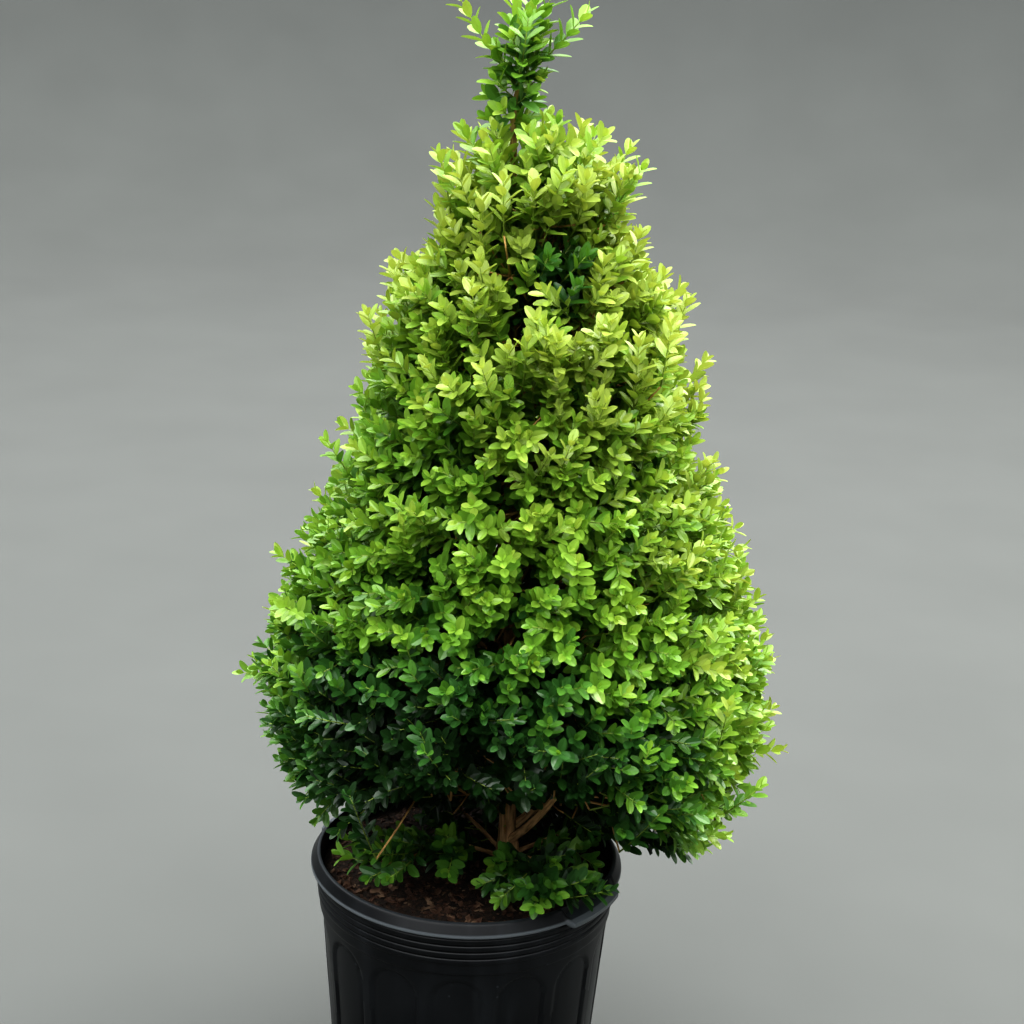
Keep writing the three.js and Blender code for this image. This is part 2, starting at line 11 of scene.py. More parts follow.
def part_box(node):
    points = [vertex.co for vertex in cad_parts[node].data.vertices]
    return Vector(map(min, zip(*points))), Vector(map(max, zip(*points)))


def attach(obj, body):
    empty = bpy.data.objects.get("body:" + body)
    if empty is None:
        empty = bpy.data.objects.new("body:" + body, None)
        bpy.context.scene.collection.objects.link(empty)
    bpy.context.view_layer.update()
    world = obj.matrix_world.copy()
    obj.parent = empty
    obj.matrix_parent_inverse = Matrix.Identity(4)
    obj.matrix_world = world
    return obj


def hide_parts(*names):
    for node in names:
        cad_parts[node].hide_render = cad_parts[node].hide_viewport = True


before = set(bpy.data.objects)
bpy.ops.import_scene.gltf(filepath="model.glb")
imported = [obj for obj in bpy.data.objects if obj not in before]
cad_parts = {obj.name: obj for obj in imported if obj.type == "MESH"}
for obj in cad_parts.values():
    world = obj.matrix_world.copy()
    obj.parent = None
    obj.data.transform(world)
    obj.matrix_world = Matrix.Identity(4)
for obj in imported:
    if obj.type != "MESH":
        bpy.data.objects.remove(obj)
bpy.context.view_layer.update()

bl_info = {
    "name": "Boxwood Cone in a Nursery Pot",
    "version": (1, 0, 0),
    "blender": (4, 5, 0),
    "location": "View3D > Sidebar > Topiary",
    "description": "Grows a clipped boxwood cone and its pot round the packed model",
    "category": "Add Mesh",
}

# All sizes are in metres. The pot's rim and height, the trunk's ends and the leader's top are the frame's.
POT_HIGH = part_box("pot")[1]
TRUNK_LOW, TRUNK_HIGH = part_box("trunk")
TUFT_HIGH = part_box("leader_tuft")[1]
SOIL_TOP = 0.303
CROWN_X = 0.048

# Trunk: the same lean, bow, taper and flare as its solid.
TRUNK_FOOT_X = 0.046
TRUNK_LEAN = 0.026
TRUNK_BOW = 0.007
TRUNK_TIP_Z = 1.165
TRUNK_RADIUS = 0.010
TRUNK_TIP_RADIUS = 0.003
FLARE = 0.008
FLARE_HEIGHT = 0.016

# How far the leaf tips reach from the crown's axis, at each height where that turns.
CROWN_OUTLINE = (
    (0.365, 0.225), (0.400, 0.272), (0.490, 0.298), (0.590, 0.285), (0.667, 0.262), (0.745, 0.228),
    (0.810, 0.200), (0.920, 0.173), (0.974, 0.158), (1.015, 0.128), (1.063, 0.106), (1.130, 0.082),
    (1.172, 0.040),
)

# The height at which the close wood inside the crown begins.
CORE_BOTTOM = 0.426

# Tiers of the crown and the cones that part them: height on the crown's axis, and slope.
TIERS = ("crown_skirt", "crown_lower", "crown_middle", "crown_upper")
TIER_SPLITS = ((0.458, 0.45), (0.615, 0.6), (0.806, 0.8))

# Holes in the clipped face, through which inner twigs show, their leaves painted dark as the shade in the
# hole: azimuth, height, half width, half height.
FACE_HOLES = (
    (-70, 1.022, 0.034, 0.036),
    (-98, 0.976, 0.017, 0.030),
    (-112, 0.748, 0.015, 0.010),
)

# The skirt's hem, and how far it is lifted in front so that the stems show. A sparse share of the shoots
# hangs on for SPARSE_DROP below it.
HEM = 0.398
HEM_LIFT = 0.14
HEM_LIFT_AZIMUTH = math.radians(-95)
HEM_LIFT_WIDTH = math.radians(50)
SPARSE = 0.12
SPARSE_DROP = 0.045

# The gap through which the first bough shows: its middle and half width along X, and the heights it spans
# where the line of sight from the front crosses the crown's axis. That line falls by SIGHT_FALL a metre.
BOUGH_GAP_X = 0.076
BOUGH_GAP_HALF = 0.026
BOUGH_GAP_Z = (0.345, 0.430)
SIGHT_FALL = 1 / 3

# Where the low leaves are painted darkest as shade, and the numbers of loose shoots round the top and in
# the hollow.
SHADE_AZIMUTH = math.radians(-102)
SHADE_WIDTH = math.radians(52)
CREST_COUNT = 20
HOLLOW_COUNT = 170

# Shoots of the crown: the heights, the shares of the full reach and the lengths that they are drawn from.
# Some of the inner ones are kept for the low part, and a stray has grown on past the last clipping.
FACE_Z = (0.380, 1.135)
INNER_Z = (0.42, 1.09)
INNER_LOW_Z = (0.41, 0.60)
INNER_LOW_SHARE = 0.36
INNER_REACH = (0.44, 0.86)
SHOOT_LENGTH = (0.062, 0.100)
STRAY_REACH = (0.014, 0.032)

# Leaves on a shoot: its bare length below the first pair, the share of its length at which pairs end, the
# angle at which a low pair opens, how much less a high one does, and the angle and size of the tip's pair.
BARE = 0.014
LAST_PAIR = 0.97
LOW_PAIR_ANGLE = 62
HIGH_PAIR_CLOSES = 26
TIP_ANGLE = 20
TIP_SIZE = 0.62

# The boughs that carry the skirt: azimuth of the first in degrees, radii at root and tip, height of the
# first root and the rise to the next, reach from the crown's axis, height of the tip, lift of the elbow.
BOUGH_COUNT = 5
BOUGH_PHASE = -56
BOUGH_RADII = (0.0052, 0.0034)
BOUGH_ROOT_Z = 0.336
BOUGH_ROOT_RISE = 0.014
BOUGH_REACH = 0.112
BOUGH_TIP_Z = CORE_BOTTOM + 0.042
BOUGH_LIFT = -0.022

# The thin low boughs, whose roots stand at two heights in turn.
LOW_COUNT = 5
LOW_PHASE = -72
LOW_RADII = (0.0028, 0.00182)
LOW_ROOT_Z = (0.313, 0.316)
LOW_REACH = 0.084
LOW_TIP_Z = 0.358
LOW_LIFT = 0.004

# The low sprays: how far their stem runs on past the bough and droops, and the shoots on it and the bough.
LOW_STEM = 0.078
LOW_DROOP = 0.010
LOW_STEM_SHOOTS = 14
LOW_BOUGH_SHOOTS = 10

# Wood in the crown: its radii at root and tip.
BRANCH_RADII = (0.0036, 0.0021)
FORK_RADII = (0.0021, 0.0014)
STALK_RADII = (0.0013, 0.00112)
SHOOT_RADII = (0.00115, 0.0005)
LOW_STEM_RADII = (0.0018, 0.0012)
LEADER_RADII = (0.003, 0.0014)

# The turn from one shoot to the next, and the most faces that one piece of leaves may have.
GOLDEN_ANGLE = math.pi * (3 - math.sqrt(5))
MOST_FACES = 190000

# Leaf colours from the newest growth at the tips to the oldest inside. They are also dealt as painted light
# and shade: pale ones where light falls, dark ones as painted shade.
LEAF_COLOURS = (
    ("leaf_gold_green", "#A6B95C"),
    ("leaf_new_green", "#9CB552"),
    ("leaf_light_green", "#8DB048"),
    ("leaf_mid_green", "#78A23F"),
    ("leaf_deep_green", "#588536"),
    ("leaf_shade_green", "#3A642E"),
    ("leaf_inner_green", "#203E1A"),
)

# The share of a leaf's light that comes through the blade, how dull its gloss is, and that light's tint.
LEAF_GLOW = 0.28
LEAF_ROUGHNESS = 0.37
GLOW_TINT = (1.25, 1.1, 0.78)

# The photograph's view: a long lens, looking down, with its right side a little raised. The sensor's width
# is in millimetres.
IMAGE_SIZE = 1024
FOCAL_PIXELS = 2000
SENSOR_WIDTH = 36
CAMERA_PLACE = (0.0356, -2.056, 1.417)
CAMERA_PITCH = math.radians(18.4)
CAMERA_ROLL = math.radians(-2.4)


def linear(hex_colour):
    """The linear colour of an sRGB hex value, with full alpha."""
    channels = [int(hex_colour[place:place + 2], 16) / 255 for place in (1, 3, 5)]
    straight = [c / 12.92 if c <= 0.04045 else ((c + 0.055) / 1.055) ** 2.4 for c in channels]
    return (*straight, 1.0)


def colour_property(name, description, hex_colour):
    return FloatVectorProperty(
        name=name, description=description, subtype="COLOR", size=3, min=0, max=1,
        default=linear(hex_colour)[:3],
    )


def opaque(colour):
    return (*colour, 1.0)


def length_property(name, description, default):
    return FloatProperty(name=name, description=description, default=default, min=0, unit="LENGTH")


def power_property(name, description, default):
    return FloatProperty(name=name, description=description, default=default, min=0, unit="POWER")


class PotSizes(bpy.types.PropertyGroup):
    rim_radius: length_property("Rim radius", "Outer radius of the pot's lip", POT_HIGH[0])
    height: length_property("Height", "Height of the pot from foot to mouth", POT_HIGH[2])
    panel_depth: length_property("Panel depth", "How far the arched panels are set in", 0.002)
    panels: IntProperty(name="Panels", description="Arched panels round the side", default=14, min=0)
    plastic: colour_property("Plastic", "Black of the moulded pot", "#07090C")
    # The dust colour also paints the highlight on upward faces.
    dust: colour_property("Dust", "Dry dust and lime on the plastic", "#3E4246")
    # A painted highlight along the lip's outer edge.
    painted_edge_highlight: colour_property("Painted edge highlight", "Painted highlight along the lip's outer edge", "#7C8286")


class PlantSizes(bpy.types.PropertyGroup):
    leaf_length: length_property("Leaf length", "Length of a grown leaf", 0.0208)
    leaf_width: length_property("Leaf width", "Width of a grown leaf", 0.0107)
    internode: length_property("Internode", "Distance from one pair of leaves to the next", 0.0088)
    face_shoots: IntProperty(name="Face shoots", description="Shoots on the clipped face", default=2150)
    inner_shoots: IntProperty(name="Inner shoots", description="Shoots behind the face", default=780)
    seed: IntProperty(name="Seed", description="Seed of the growth", default=11)
    # Old bark is painted paler than the young, as light against the shade at the trunk's foot.
    old_bark_painted_lighter: colour_property("Old bark", "Tan of the trunk's foot, painted paler against its shade", "#DAB488")
    young_bark: colour_property("Young bark", "Tan of the boughs", "#CFA976")
    twig: colour_property("Twig", "Straw brown of the inner twigs", "#C7A067")
    shoot: colour_property("Shoot", "Green of this year's shoots", "#93A94B")


class StageSettings(bpy.types.PropertyGroup):
    floor: colour_property("Floor", "Pale studio floor", "#505250")
    key_power: power_property("Key light", "Power of the large light", 72)
    fill_power: power_property("Fill light", "Power of the front light", 4)
    sky: FloatProperty(name="Sky", description="Strength of the light from above", default=2.28)
    exposure: FloatProperty(name="Exposure", description="Exposure of the view, in stops", default=1.12)


def first_enabled(sockets, name=None):
    """The first socket in use, of that name where one is given."""
    return next(each for each in sockets if each.enabled and name in (None, each.name))


def add_node(tree, kind, inputs=None, stops=None, **settings):
    """Adds a shader node with its settings and ramp stops, and with its inputs set or linked."""
    node = tree.nodes.new(kind)
    for name, value in settings.items():
        setattr(node, name, value)
    for number, (position, colour) in enumerate(stops or ()):
        elements = node.color_ramp.elements
        element = elements[number] if number < 2 else elements.new(position)
        element.position = position
        element.color = linear(colour) if isinstance(colour, str) else colour
    for name, value in (inputs or {}).items():
        target = node.inputs[name] if isinstance(name, int) else first_enabled(node.inputs, name)
        if isinstance(value, bpy.types.Node):
            value = first_enabled(value.outputs)
        if isinstance(value, bpy.types.NodeSocket):
            tree.links.new(value, target)
        else:
            target.default_value = value
    return node


def material_of(name, recipe, *values):
    """The material of that name. It is built where there is none yet: the recipe is given what adds a node,
    the Object coordinates that its patterns read and its values, and returns the shader."""
    material = bpy.data.materials.get(name)
    if material is None:
        material = bpy.data.materials.new(name)
        material.use_nodes = True
        material.node_tree.nodes.clear()
        add = partial(add_node, material.node_tree)
        place = add("ShaderNodeTexCoord").outputs["Object"]
        add("ShaderNodeOutputMaterial", {"Surface": recipe(add, place, *values)})
    return material


def darkened(add, colour, share, pattern, *stops):
    """Multiplies a colour by a share of the ramp that a pattern runs through."""
    shade = add("ShaderNodeValToRGB", {"Fac": pattern}, stops)
    sockets = {"Factor": share, "A": colour, "B": shade}
    return add("ShaderNodeMix", sockets, data_type="RGBA", blend_type="MULTIPLY")


def grey(level):
    return (level, level, level, 1.0)


def moulded_plastic(add, place, pot):
    """Polyethylene, injection moulded: black with a dull gloss, greyed by dust where it settles. Upward
    faces are also painted paler as a highlight, and the lip's outer edge carries a painted highlight line.
    """
    cloud = add("ShaderNodeTexNoise", {"Vector": place, "Scale": 9, "Detail": 5})
    film = add("ShaderNodeValToRGB", {"Fac": cloud}, ((0.38, grey(0.0)), (0.78, grey(0.15))))
    upright = add("ShaderNodeMapping", {"Vector": place, "Scale": (1, 1, 0.12)})
    streaks = add("ShaderNodeTexNoise", {"Vector": upright, "Scale": 34, "Detail": 4})
    runs = add("ShaderNodeValToRGB", {"Fac": streaks}, ((0.52, grey(0.0)), (0.82, grey(0.20))))
    # Upward faces are greyed by settled dust, and the level grip ledges are partly painted paler as a
    # highlight.
    facing = add("ShaderNodeNewGeometry").outputs["Normal"]
    upward = add("ShaderNodeSeparateXYZ", {"Vector": facing}).outputs["Z"]
    settled_dust_and_sheen = add("ShaderNodeMapRange", {
        "Value": upward, "From Min": 0.7, "From Max": 0.97, "To Min": 0.0, "To Max": 0.75,
    })
    # The lip's outer edge is painted paler as a highlight, in a line 3 mm high.
    flat = add("ShaderNodeVectorMath", {0: place, 1: (1.0, 1.0, 0.0)}, operation="MULTIPLY")
    from_axis = add("ShaderNodeVectorMath", {0: flat}, operation="LENGTH").outputs["Value"]
    painted_edge_highlight = add("ShaderNodeMapRange", {
        "Value": from_axis, "From Min": pot.rim_radius - 0.0011, "From Max": pot.rim_radius - 0.0002,
        "To Min": 0.0, "To Max": 0.5,
    })
    spots = add("ShaderNodeTexVoronoi", {"Vector": place, "Scale": 95})
    spot = add("ShaderNodeMapRange", {
        "Value": spots.outputs["Distance"],
        "From Min": 0.10, "From Max": 0.16, "To Min": 0.5, "To Max": 0.0,
    })
    lottery = add("ShaderNodeSeparateColor", {"Color": spots.outputs["Color"]}).outputs["Red"]
    rare = add("ShaderNodeMath", {0: lottery, 1: 0.92}, operation="GREATER_THAN")
    total = add("ShaderNodeMath", {0: spot, 1: rare}, operation="MULTIPLY")
    for layer in (film, runs, settled_dust_and_sheen):
        total = add("ShaderNodeMath", {0: total, 1: layer}, operation="ADD")
    dust_and_sheen_colour = add("ShaderNodeMix", {
        "Factor": total, "A": opaque(pot.plastic), "B": opaque(pot.dust),
    }, data_type="RGBA")
    colour = add("ShaderNodeMix", {
        "Factor": painted_edge_highlight, "A": dust_and_sheen_colour, "B": opaque(pot.painted_edge_highlight),
    }, data_type="RGBA")
    rough = add("ShaderNodeMapRange", {
        "Value": cloud, "From Min": 0.3, "From Max": 0.75, "To Min": 0.30, "To Max": 0.52,
    })
    # Moulding grain of about 1 mm, drawn coarser than the real 0.2 mm so that it shows.
    grain = add("ShaderNodeTexNoise", {"Vector": place, "Scale": 900, "Detail": 2})
    bump = add("ShaderNodeBump", {"Height": grain, "Strength": 0.12, "Distance": 0.0005})
    return add("ShaderNodeBsdfPrincipled", {
        "Base Color": colour, "Roughness": rough, "Specular IOR Level": 0.3, "Normal": bump,
    })


def potting_mix(add, place):
    """Potting mix of fine composted bark: dark, matt and crumbly."""
    # Crumbs of 3 to 6 mm.
    crumbs = add("ShaderNodeTexNoise", {"Vector": place, "Scale": 170, "Detail": 6, "Roughness": 0.7})
    colour = add("ShaderNodeValToRGB", {"Fac": crumbs}, (
        (0.30, "#120D09"), (0.48, "#261B13"),
        (0.62, "#433022"), (0.78, "#7C6145"),
    ))
    bump = add("ShaderNodeBump", {"Height": crumbs, "Strength": 0.9, "Distance": 0.004})
    return add("ShaderNodeBsdfPrincipled", {"Base Color": colour, "Roughness": 0.92, "Normal": bump})


def chip_bark(add, place):
    """Broken pine bark, weathered: brown to grey from chip to chip."""
    tone = add("ShaderNodeTexNoise", {"Vector": place, "Scale": 60, "Detail": 2})
    colour = add("ShaderNodeValToRGB", {"Fac": tone}, (
        (0.34, "#251911"), (0.5, "#4A3224"), (0.68, "#7D6752"),
    ))
    # Bark fibre, about 2.5 mm apart.
    fibre = add("ShaderNodeTexNoise", {"Vector": place, "Scale": 380, "Detail": 3})
    bump = add("ShaderNodeBump", {"Height": fibre, "Strength": 0.5, "Distance": 0.001})
    return add("ShaderNodeBsdfPrincipled", {"Base Color": colour, "Roughness": 0.88, "Normal": bump})


def furrowed_bark(add, place, plant):
    """Boxwood bark: tan and finely furrowed along the limb, and painted paler at the foot, where the trunk
    stands in shade.
    """
    height = add("ShaderNodeSeparateXYZ", {"Vector": place}).outputs["Z"]
    # The foot's old bark is painted paler than the boughs' as light against the shade there.
    age = add("ShaderNodeMapRange", {
        "Value": height, "From Min": SOIL_TOP, "From Max": 0.42, "To Min": 0.8, "To Max": 0.2,
    })
    body = add("ShaderNodeMix", {
        "Factor": age, "A": opaque(plant.young_bark), "B": opaque(plant.old_bark_painted_lighter),
    }, data_type="RGBA")
    # Furrows about 4 mm apart round the limb and 24 mm long, whichever way it leans. On thin stems the real
    # ones are finer, and are drawn as coarse so that they show.
    along = add("ShaderNodeAttribute", attribute_name="along_limb").outputs["Vector"]
    stretched = add("ShaderNodeMapping", {"Vector": along, "Scale": (1, 1, 0.16)})
    furrow = add("ShaderNodeTexNoise", {"Vector": stretched, "Scale": 260, "Detail": 4})
    colour = darkened(add, body, 0.8, furrow, (0.36, "#857565"), (0.6, "#FFFFFF"))
    bump = add("ShaderNodeBump", {"Height": furrow, "Strength": 0.7, "Distance": 0.0012})
    return add("ShaderNodeBsdfPrincipled", {"Base Color": colour, "Roughness": 0.8, "Normal": bump})


def twig_skin(add, place, colour, roughness):
    """Thin boxwood wood: its skin changes shade from twig to twig."""
    tone = add("ShaderNodeTexNoise", {"Vector": place, "Scale": 45, "Detail": 2})
    tinted = darkened(add, opaque(colour), 0.7, tone, (0.35, "#A8A29C"), (0.65, "#FFFFFF"))
    return add("ShaderNodeBsdfPrincipled", {"Base Color": tinted, "Roughness": roughness})


def waxy_leaf(add, _, colour):
    """A waxy evergreen leaf: a soft gloss on top, and daylight comes through its blade."""
    blade = add("ShaderNodeBsdfPrincipled", {
        "Base Color": colour, "Roughness": LEAF_ROUGHNESS, "Specular IOR Level": 0.7,
        "Coat Weight": 0.12, "Coat Roughness": 0.2,
    })
    glow = tuple(min(1.0, channel * share) for channel, share in zip(colour, GLOW_TINT))
    through = add("ShaderNodeBsdfTranslucent", {"Color": opaque(glow)})
    return add("ShaderNodeMixShader", {0: LEAF_GLOW, 1: blade, 2: through})


def floor_paint(add, place, colour):
    """A painted studio floor, matt and even."""
    tone = add("ShaderNodeTexNoise", {"Vector": place, "Scale": 3, "Detail": 2})
    tinted = darkened(add, opaque(colour), 1.0, tone, (0.3, "#F8F8F8"), (0.7, "#FFFFFF"))
    return add("ShaderNodeBsdfPrincipled", {"Base Color": tinted, "Roughness": 0.9})


def select_only(piece):
    """Makes piece the one selected and active object."""
    bpy.ops.object.select_all(action="DESELECT")
    piece.select_set(True)
    bpy.context.view_layer.objects.active = piece


def new_object(name, data):
    """A new object in the scene, with that mesh, light or lens."""
    made = bpy.data.objects.new(name, data)
    bpy.context.scene.collection.objects.link(made)
    return made


def mesh_piece(name, vertices, faces, materials, face_materials=None, smooth=True):
    """A new object from arrays of vertices and equal-sided faces."""
    vertices = np.asarray(vertices, dtype=np.float32)
    faces = np.asarray(faces, dtype=np.int32)
    mesh = bpy.data.meshes.new(name)
    mesh.vertices.add(len(vertices))
    mesh.vertices.foreach_set("co", vertices.ravel())
    mesh.loops.add(faces.size)
    mesh.loops.foreach_set("vertex_index", faces.ravel())
    mesh.polygons.add(len(faces))
    mesh.polygons.foreach_set("loop_start", np.arange(0, faces.size, faces.shape[1], dtype=np.int32))
    mesh.polygons.foreach_set("use_smooth", np.full(len(faces), smooth))
    if face_materials is not None:
        mesh.polygons.foreach_set("material_index", np.asarray(face_materials, dtype=np.int32))
    mesh.update(calc_edges=True)
    mesh.validate()
    for material in materials:
        mesh.materials.append(material)
    return new_object(name, mesh)


def ride_as(piece, slot, *nodes):
    """Ties a finished piece to the root body, and hides the frame's parts for the nodes it stands for. The
    slot is not used.
    """
    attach(piece, "root")
    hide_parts(*nodes)


def dress_as(piece, smooth_to, material, slot, *nodes):
    """Smooths a piece's edges up to an angle in degrees, and gives it its one material and its ties."""
    select_only(piece)
    bpy.ops.object.shade_smooth_by_angle(angle=math.radians(smooth_to))
    piece.data.materials.clear()
    piece.data.materials.append(material)
    ride_as(piece, slot, *nodes)


def smooth_step(low, high, value):
    share = np.clip((value - low) / (high - low), 0, 1)
    return share * share * (3 - 2 * share)


def turn_from(azimuth, centre, pitch=math.tau):
    """The turn from a centre, or from the nearest one where they stand at a pitch."""
    return (azimuth - centre + pitch / 2) % pitch - pitch / 2


def polar(points):
    """Each point's distance from the Z axis and its azimuth."""
    return np.hypot(points[:, 0], points[:, 1]), np.arctan2(points[:, 1], points[:, 0])


def rounded(profile, radius):
    """A profile with each inner corner replaced by a small arc of three points."""
    points = [Vector(point) for point in profile]
    result = [points[0]]
    for before, corner, after in zip(points, points[1:], points[2:]):
        back, ahead = before - corner, after - corner
        cut = min(radius, back.length * 0.45, ahead.length * 0.45)
        start = corner + back.normalized() * cut
        end = corner + ahead.normalized() * cut
        result += [start, (start + 2 * corner + end) / 4, end]
    return result + [points[-1]]


def subdivided(profile, fine, coarse):
    """A profile with no step longer than fine on the pot's outside, or than coarse elsewhere."""
    result = [profile[0]]
    for start, end in zip(profile, profile[1:]):
        outside = all(radius > body_radius(z) - WALL / 2 for radius, z in (start, end))
        pieces = max(1, math.ceil((end - start).length / (fine if outside else coarse)))
        result += [start.lerp(end, step / pieces) for step in range(1, pieces + 1)]
    return result


def close_seams(capped=False):
    """Merges doubled points, caps open ends where asked, turns faces outwards and leaves edit mode."""
    bpy.ops.mesh.select_all(action="SELECT")
    bpy.ops.mesh.remove_doubles(threshold=1e-6)
    if capped:
        bpy.ops.mesh.select_all(action="SELECT")
        bpy.ops.mesh.fill_holes(sides=0)
        bpy.ops.mesh.select_all(action="SELECT")
    bpy.ops.mesh.normals_make_consistent(inside=False)
    bpy.ops.object.mode_set(mode="OBJECT")


def turned_piece(name, profile, steps):
    """Spins a profile of (radius, height) points about the Z axis into one piece."""
    mesh = bpy.data.meshes.new(name)
    points = [(radius, 0.0, height) for radius, height in profile]
    mesh.from_pydata(points, [(at, at + 1) for at in range(len(points) - 1)], [])
    piece = new_object(name, mesh)
    select_only(piece)
    bpy.ops.object.mode_set(mode="EDIT")
    bpy.ops.mesh.select_all(action="SELECT")
    bpy.ops.mesh.spin(steps=steps, angle=math.tau, center=(0, 0, 0), axis=(0, 0, 1))
    close_seams()
    return piece


def mesh_points(piece):
    points = np.empty(len(piece.data.vertices) * 3, dtype=np.float32)
    piece.data.vertices.foreach_get("co", points)
    return points.reshape(-1, 3).astype(np.float64)


def set_mesh_points(piece, points):
    piece.data.vertices.foreach_set("co", np.asarray(points, dtype=np.float32).ravel())
    piece.data.update()


# Sizes of the pot. The lip's are measured down from the mouth and in from the rim.
FOOT_RADIUS = 0.150
FOOT_HEIGHT = 0.016
BODY_TOP = 0.258
BODY_FOOT_RADIUS = 0.1475
BODY_TOP_RADIUS = 0.1655
MOUTH_RADIUS = 0.167
WALL = 0.0045
RING_COUNT = 4
RING_FOOT = 0.2725
RING_PITCH = 0.0085
RING_RISE = 0.0016
RING_STANDS_OUT = 0.0024
RING_WIDENS = 0.0009
LIP_UNDERSIDE = 0.017
LIP_EDGE = (0.015, 0.012)
LIP_OVERHANG = 0.005
MOUTH_EDGE = 0.004
CORNER_RADIUS = 0.0012
FINE_STEP = 0.0026
COARSE_STEP = 0.020
PANEL_WIDTH = 0.057
PANEL_FOOT = 0.030
PANEL_TOP = 0.250
PANEL_PHASE = math.radians(11.9)
PANEL_EDGE = 0.0035
GROOVE_DEPTH = 0.0009
GROOVE_INSET = 0.0024
GROOVE_WIDTH = 0.0017
GRIP_AZIMUTH = math.radians(-34)
GRIP_HALF_LENGTH = 0.052
GRIP_DEPTH = 0.008
GRIP_SLOPE = 0.006
GRIP_FACE = 0.005
GRIP_REACH = 0.006
POT_STEPS = 336
DRAIN_COUNT = 7
DRAIN_SIZE = (0.024, 0.024, 0.009)


def body_radius(z):
    share = (z - FOOT_HEIGHT) / (BODY_TOP - FOOT_HEIGHT)
    return BODY_FOOT_RADIUS + (BODY_TOP_RADIUS - BODY_FOOT_RADIUS) * share


def pot_profile(rim, height):
    """Underside, foot band, body, rings, sloping lip, mouth, inner wall and floor."""
    profile = [
        (0.0, 0.0), (FOOT_RADIUS - 0.001, 0.0), (FOOT_RADIUS, 0.003),
        (FOOT_RADIUS, FOOT_HEIGHT - 0.001), (BODY_FOOT_RADIUS, FOOT_HEIGHT),
        (BODY_TOP_RADIUS, BODY_TOP), (BODY_TOP_RADIUS + 0.0020, BODY_TOP + 0.0020),
    ]
    for ring in range(RING_COUNT):
        foot = RING_FOOT + ring * RING_PITCH
        radius = BODY_TOP_RADIUS + RING_STANDS_OUT + ring * RING_WIDENS
        profile += [
            (radius, foot),
            (radius + RING_RISE, foot + 0.0016),
            (radius + RING_RISE, foot + RING_PITCH - 0.0028),
            (radius + 0.0002, foot + RING_PITCH - 0.0012),
        ]
    profile += [
        (rim - LIP_OVERHANG, height - LIP_UNDERSIDE), *((rim, height - drop) for drop in LIP_EDGE),
        (MOUTH_RADIUS + MOUTH_EDGE, height), (MOUTH_RADIUS, height),
        (body_radius(BODY_TOP) - WALL, BODY_TOP - 0.008), (body_radius(WALL) - WALL, WALL), (0.0, WALL),
    ]
    return subdivided(rounded(profile, CORNER_RADIUS), FINE_STEP, COARSE_STEP)


def press_panels(points, count, depth):
    """Sets the arched panels into the outside of the body, each with a sharper groove at its edge."""
    radius, azimuth = polar(points)
    outside = (radius > body_radius(points[:, 2]) - WALL / 2) & (points[:, 2] < BODY_TOP)
    across = turn_from(azimuth, PANEL_PHASE, math.tau / count) * radius
    half = PANEL_WIDTH / 2
    centre = PANEL_TOP - half
    straight = np.maximum(np.abs(across) - half, PANEL_FOOT - points[:, 2])
    arched = np.hypot(across, points[:, 2] - centre) - half
    edge = np.where(points[:, 2] > centre, arched, straight)
    inset = depth * smooth_step(PANEL_EDGE / 2, -PANEL_EDGE / 2, edge)
    inset += GROOVE_DEPTH * np.exp(-((edge + GROOVE_INSET) / GROOVE_WIDTH) ** 2)
    share = np.where(outside, 1 - inset / np.maximum(radius, 1e-6), 1)
    points[:, :2] *= share[:, None]


def press_grips(points, rim, height):
    """Dishes the lip into a level ledge on two opposite sides, which stands out and hangs lower."""
    radius, azimuth = polar(points)
    along = np.abs(turn_from(azimuth, GRIP_AZIMUTH, math.pi)) * rim / GRIP_HALF_LENGTH
    span = smooth_step(1.0, 0.84, along)
    inner = MOUTH_RADIUS + 0.001
    out = np.clip((radius - inner) / (rim - inner), 0, 1)
    lip = (points[:, 2] > height - LIP_UNDERSIDE + 0.0005) & (radius > inner)
    ledge = height - GRIP_DEPTH - GRIP_SLOPE * out
    under = points[:, 2] < height - sum(LIP_EDGE) / 2
    drop = np.maximum(points[:, 2] - ledge, 0) + np.where(under, GRIP_FACE, 0)
    points[:, 2] -= np.where(lip, drop * span, 0)
    reach = np.where(lip, GRIP_REACH * span * out ** 2, 0)
    points[:, :2] *= (1 + reach / np.maximum(radius, 1e-6))[:, None]


def cut_drains(piece):
    """Cuts the drain holes round the foot with one Boolean."""
    cutters = []
    for drain in range(DRAIN_COUNT):
        azimuth = math.tau * drain / DRAIN_COUNT
        bpy.ops.object.select_all(action="DESELECT")
        bpy.ops.mesh.primitive_cube_add(size=1)
        cutter = bpy.context.active_object
        cutter.scale = DRAIN_SIZE
        cutter.rotation_euler.z = azimuth
        cutter.location = (
            FOOT_RADIUS * math.cos(azimuth), FOOT_RADIUS * math.sin(azimuth), WALL + DRAIN_SIZE[2] / 2,
        )
        cutters.append(cutter)
    for cutter in cutters:
        cutter.select_set(True)
    bpy.context.view_layer.objects.active = cutters[0]
    bpy.ops.object.join()
    bpy.ops.object.transform_apply()
    cutter = bpy.context.active_object
    select_only(piece)
    modifier = piece.modifiers.new("drains", "BOOLEAN")
    modifier.operation = "DIFFERENCE"
    modifier.solver = "MANIFOLD"
    modifier.object = cutter
    bpy.ops.object.modifier_apply(modifier=modifier.name)
    bpy.data.objects.remove(cutter)


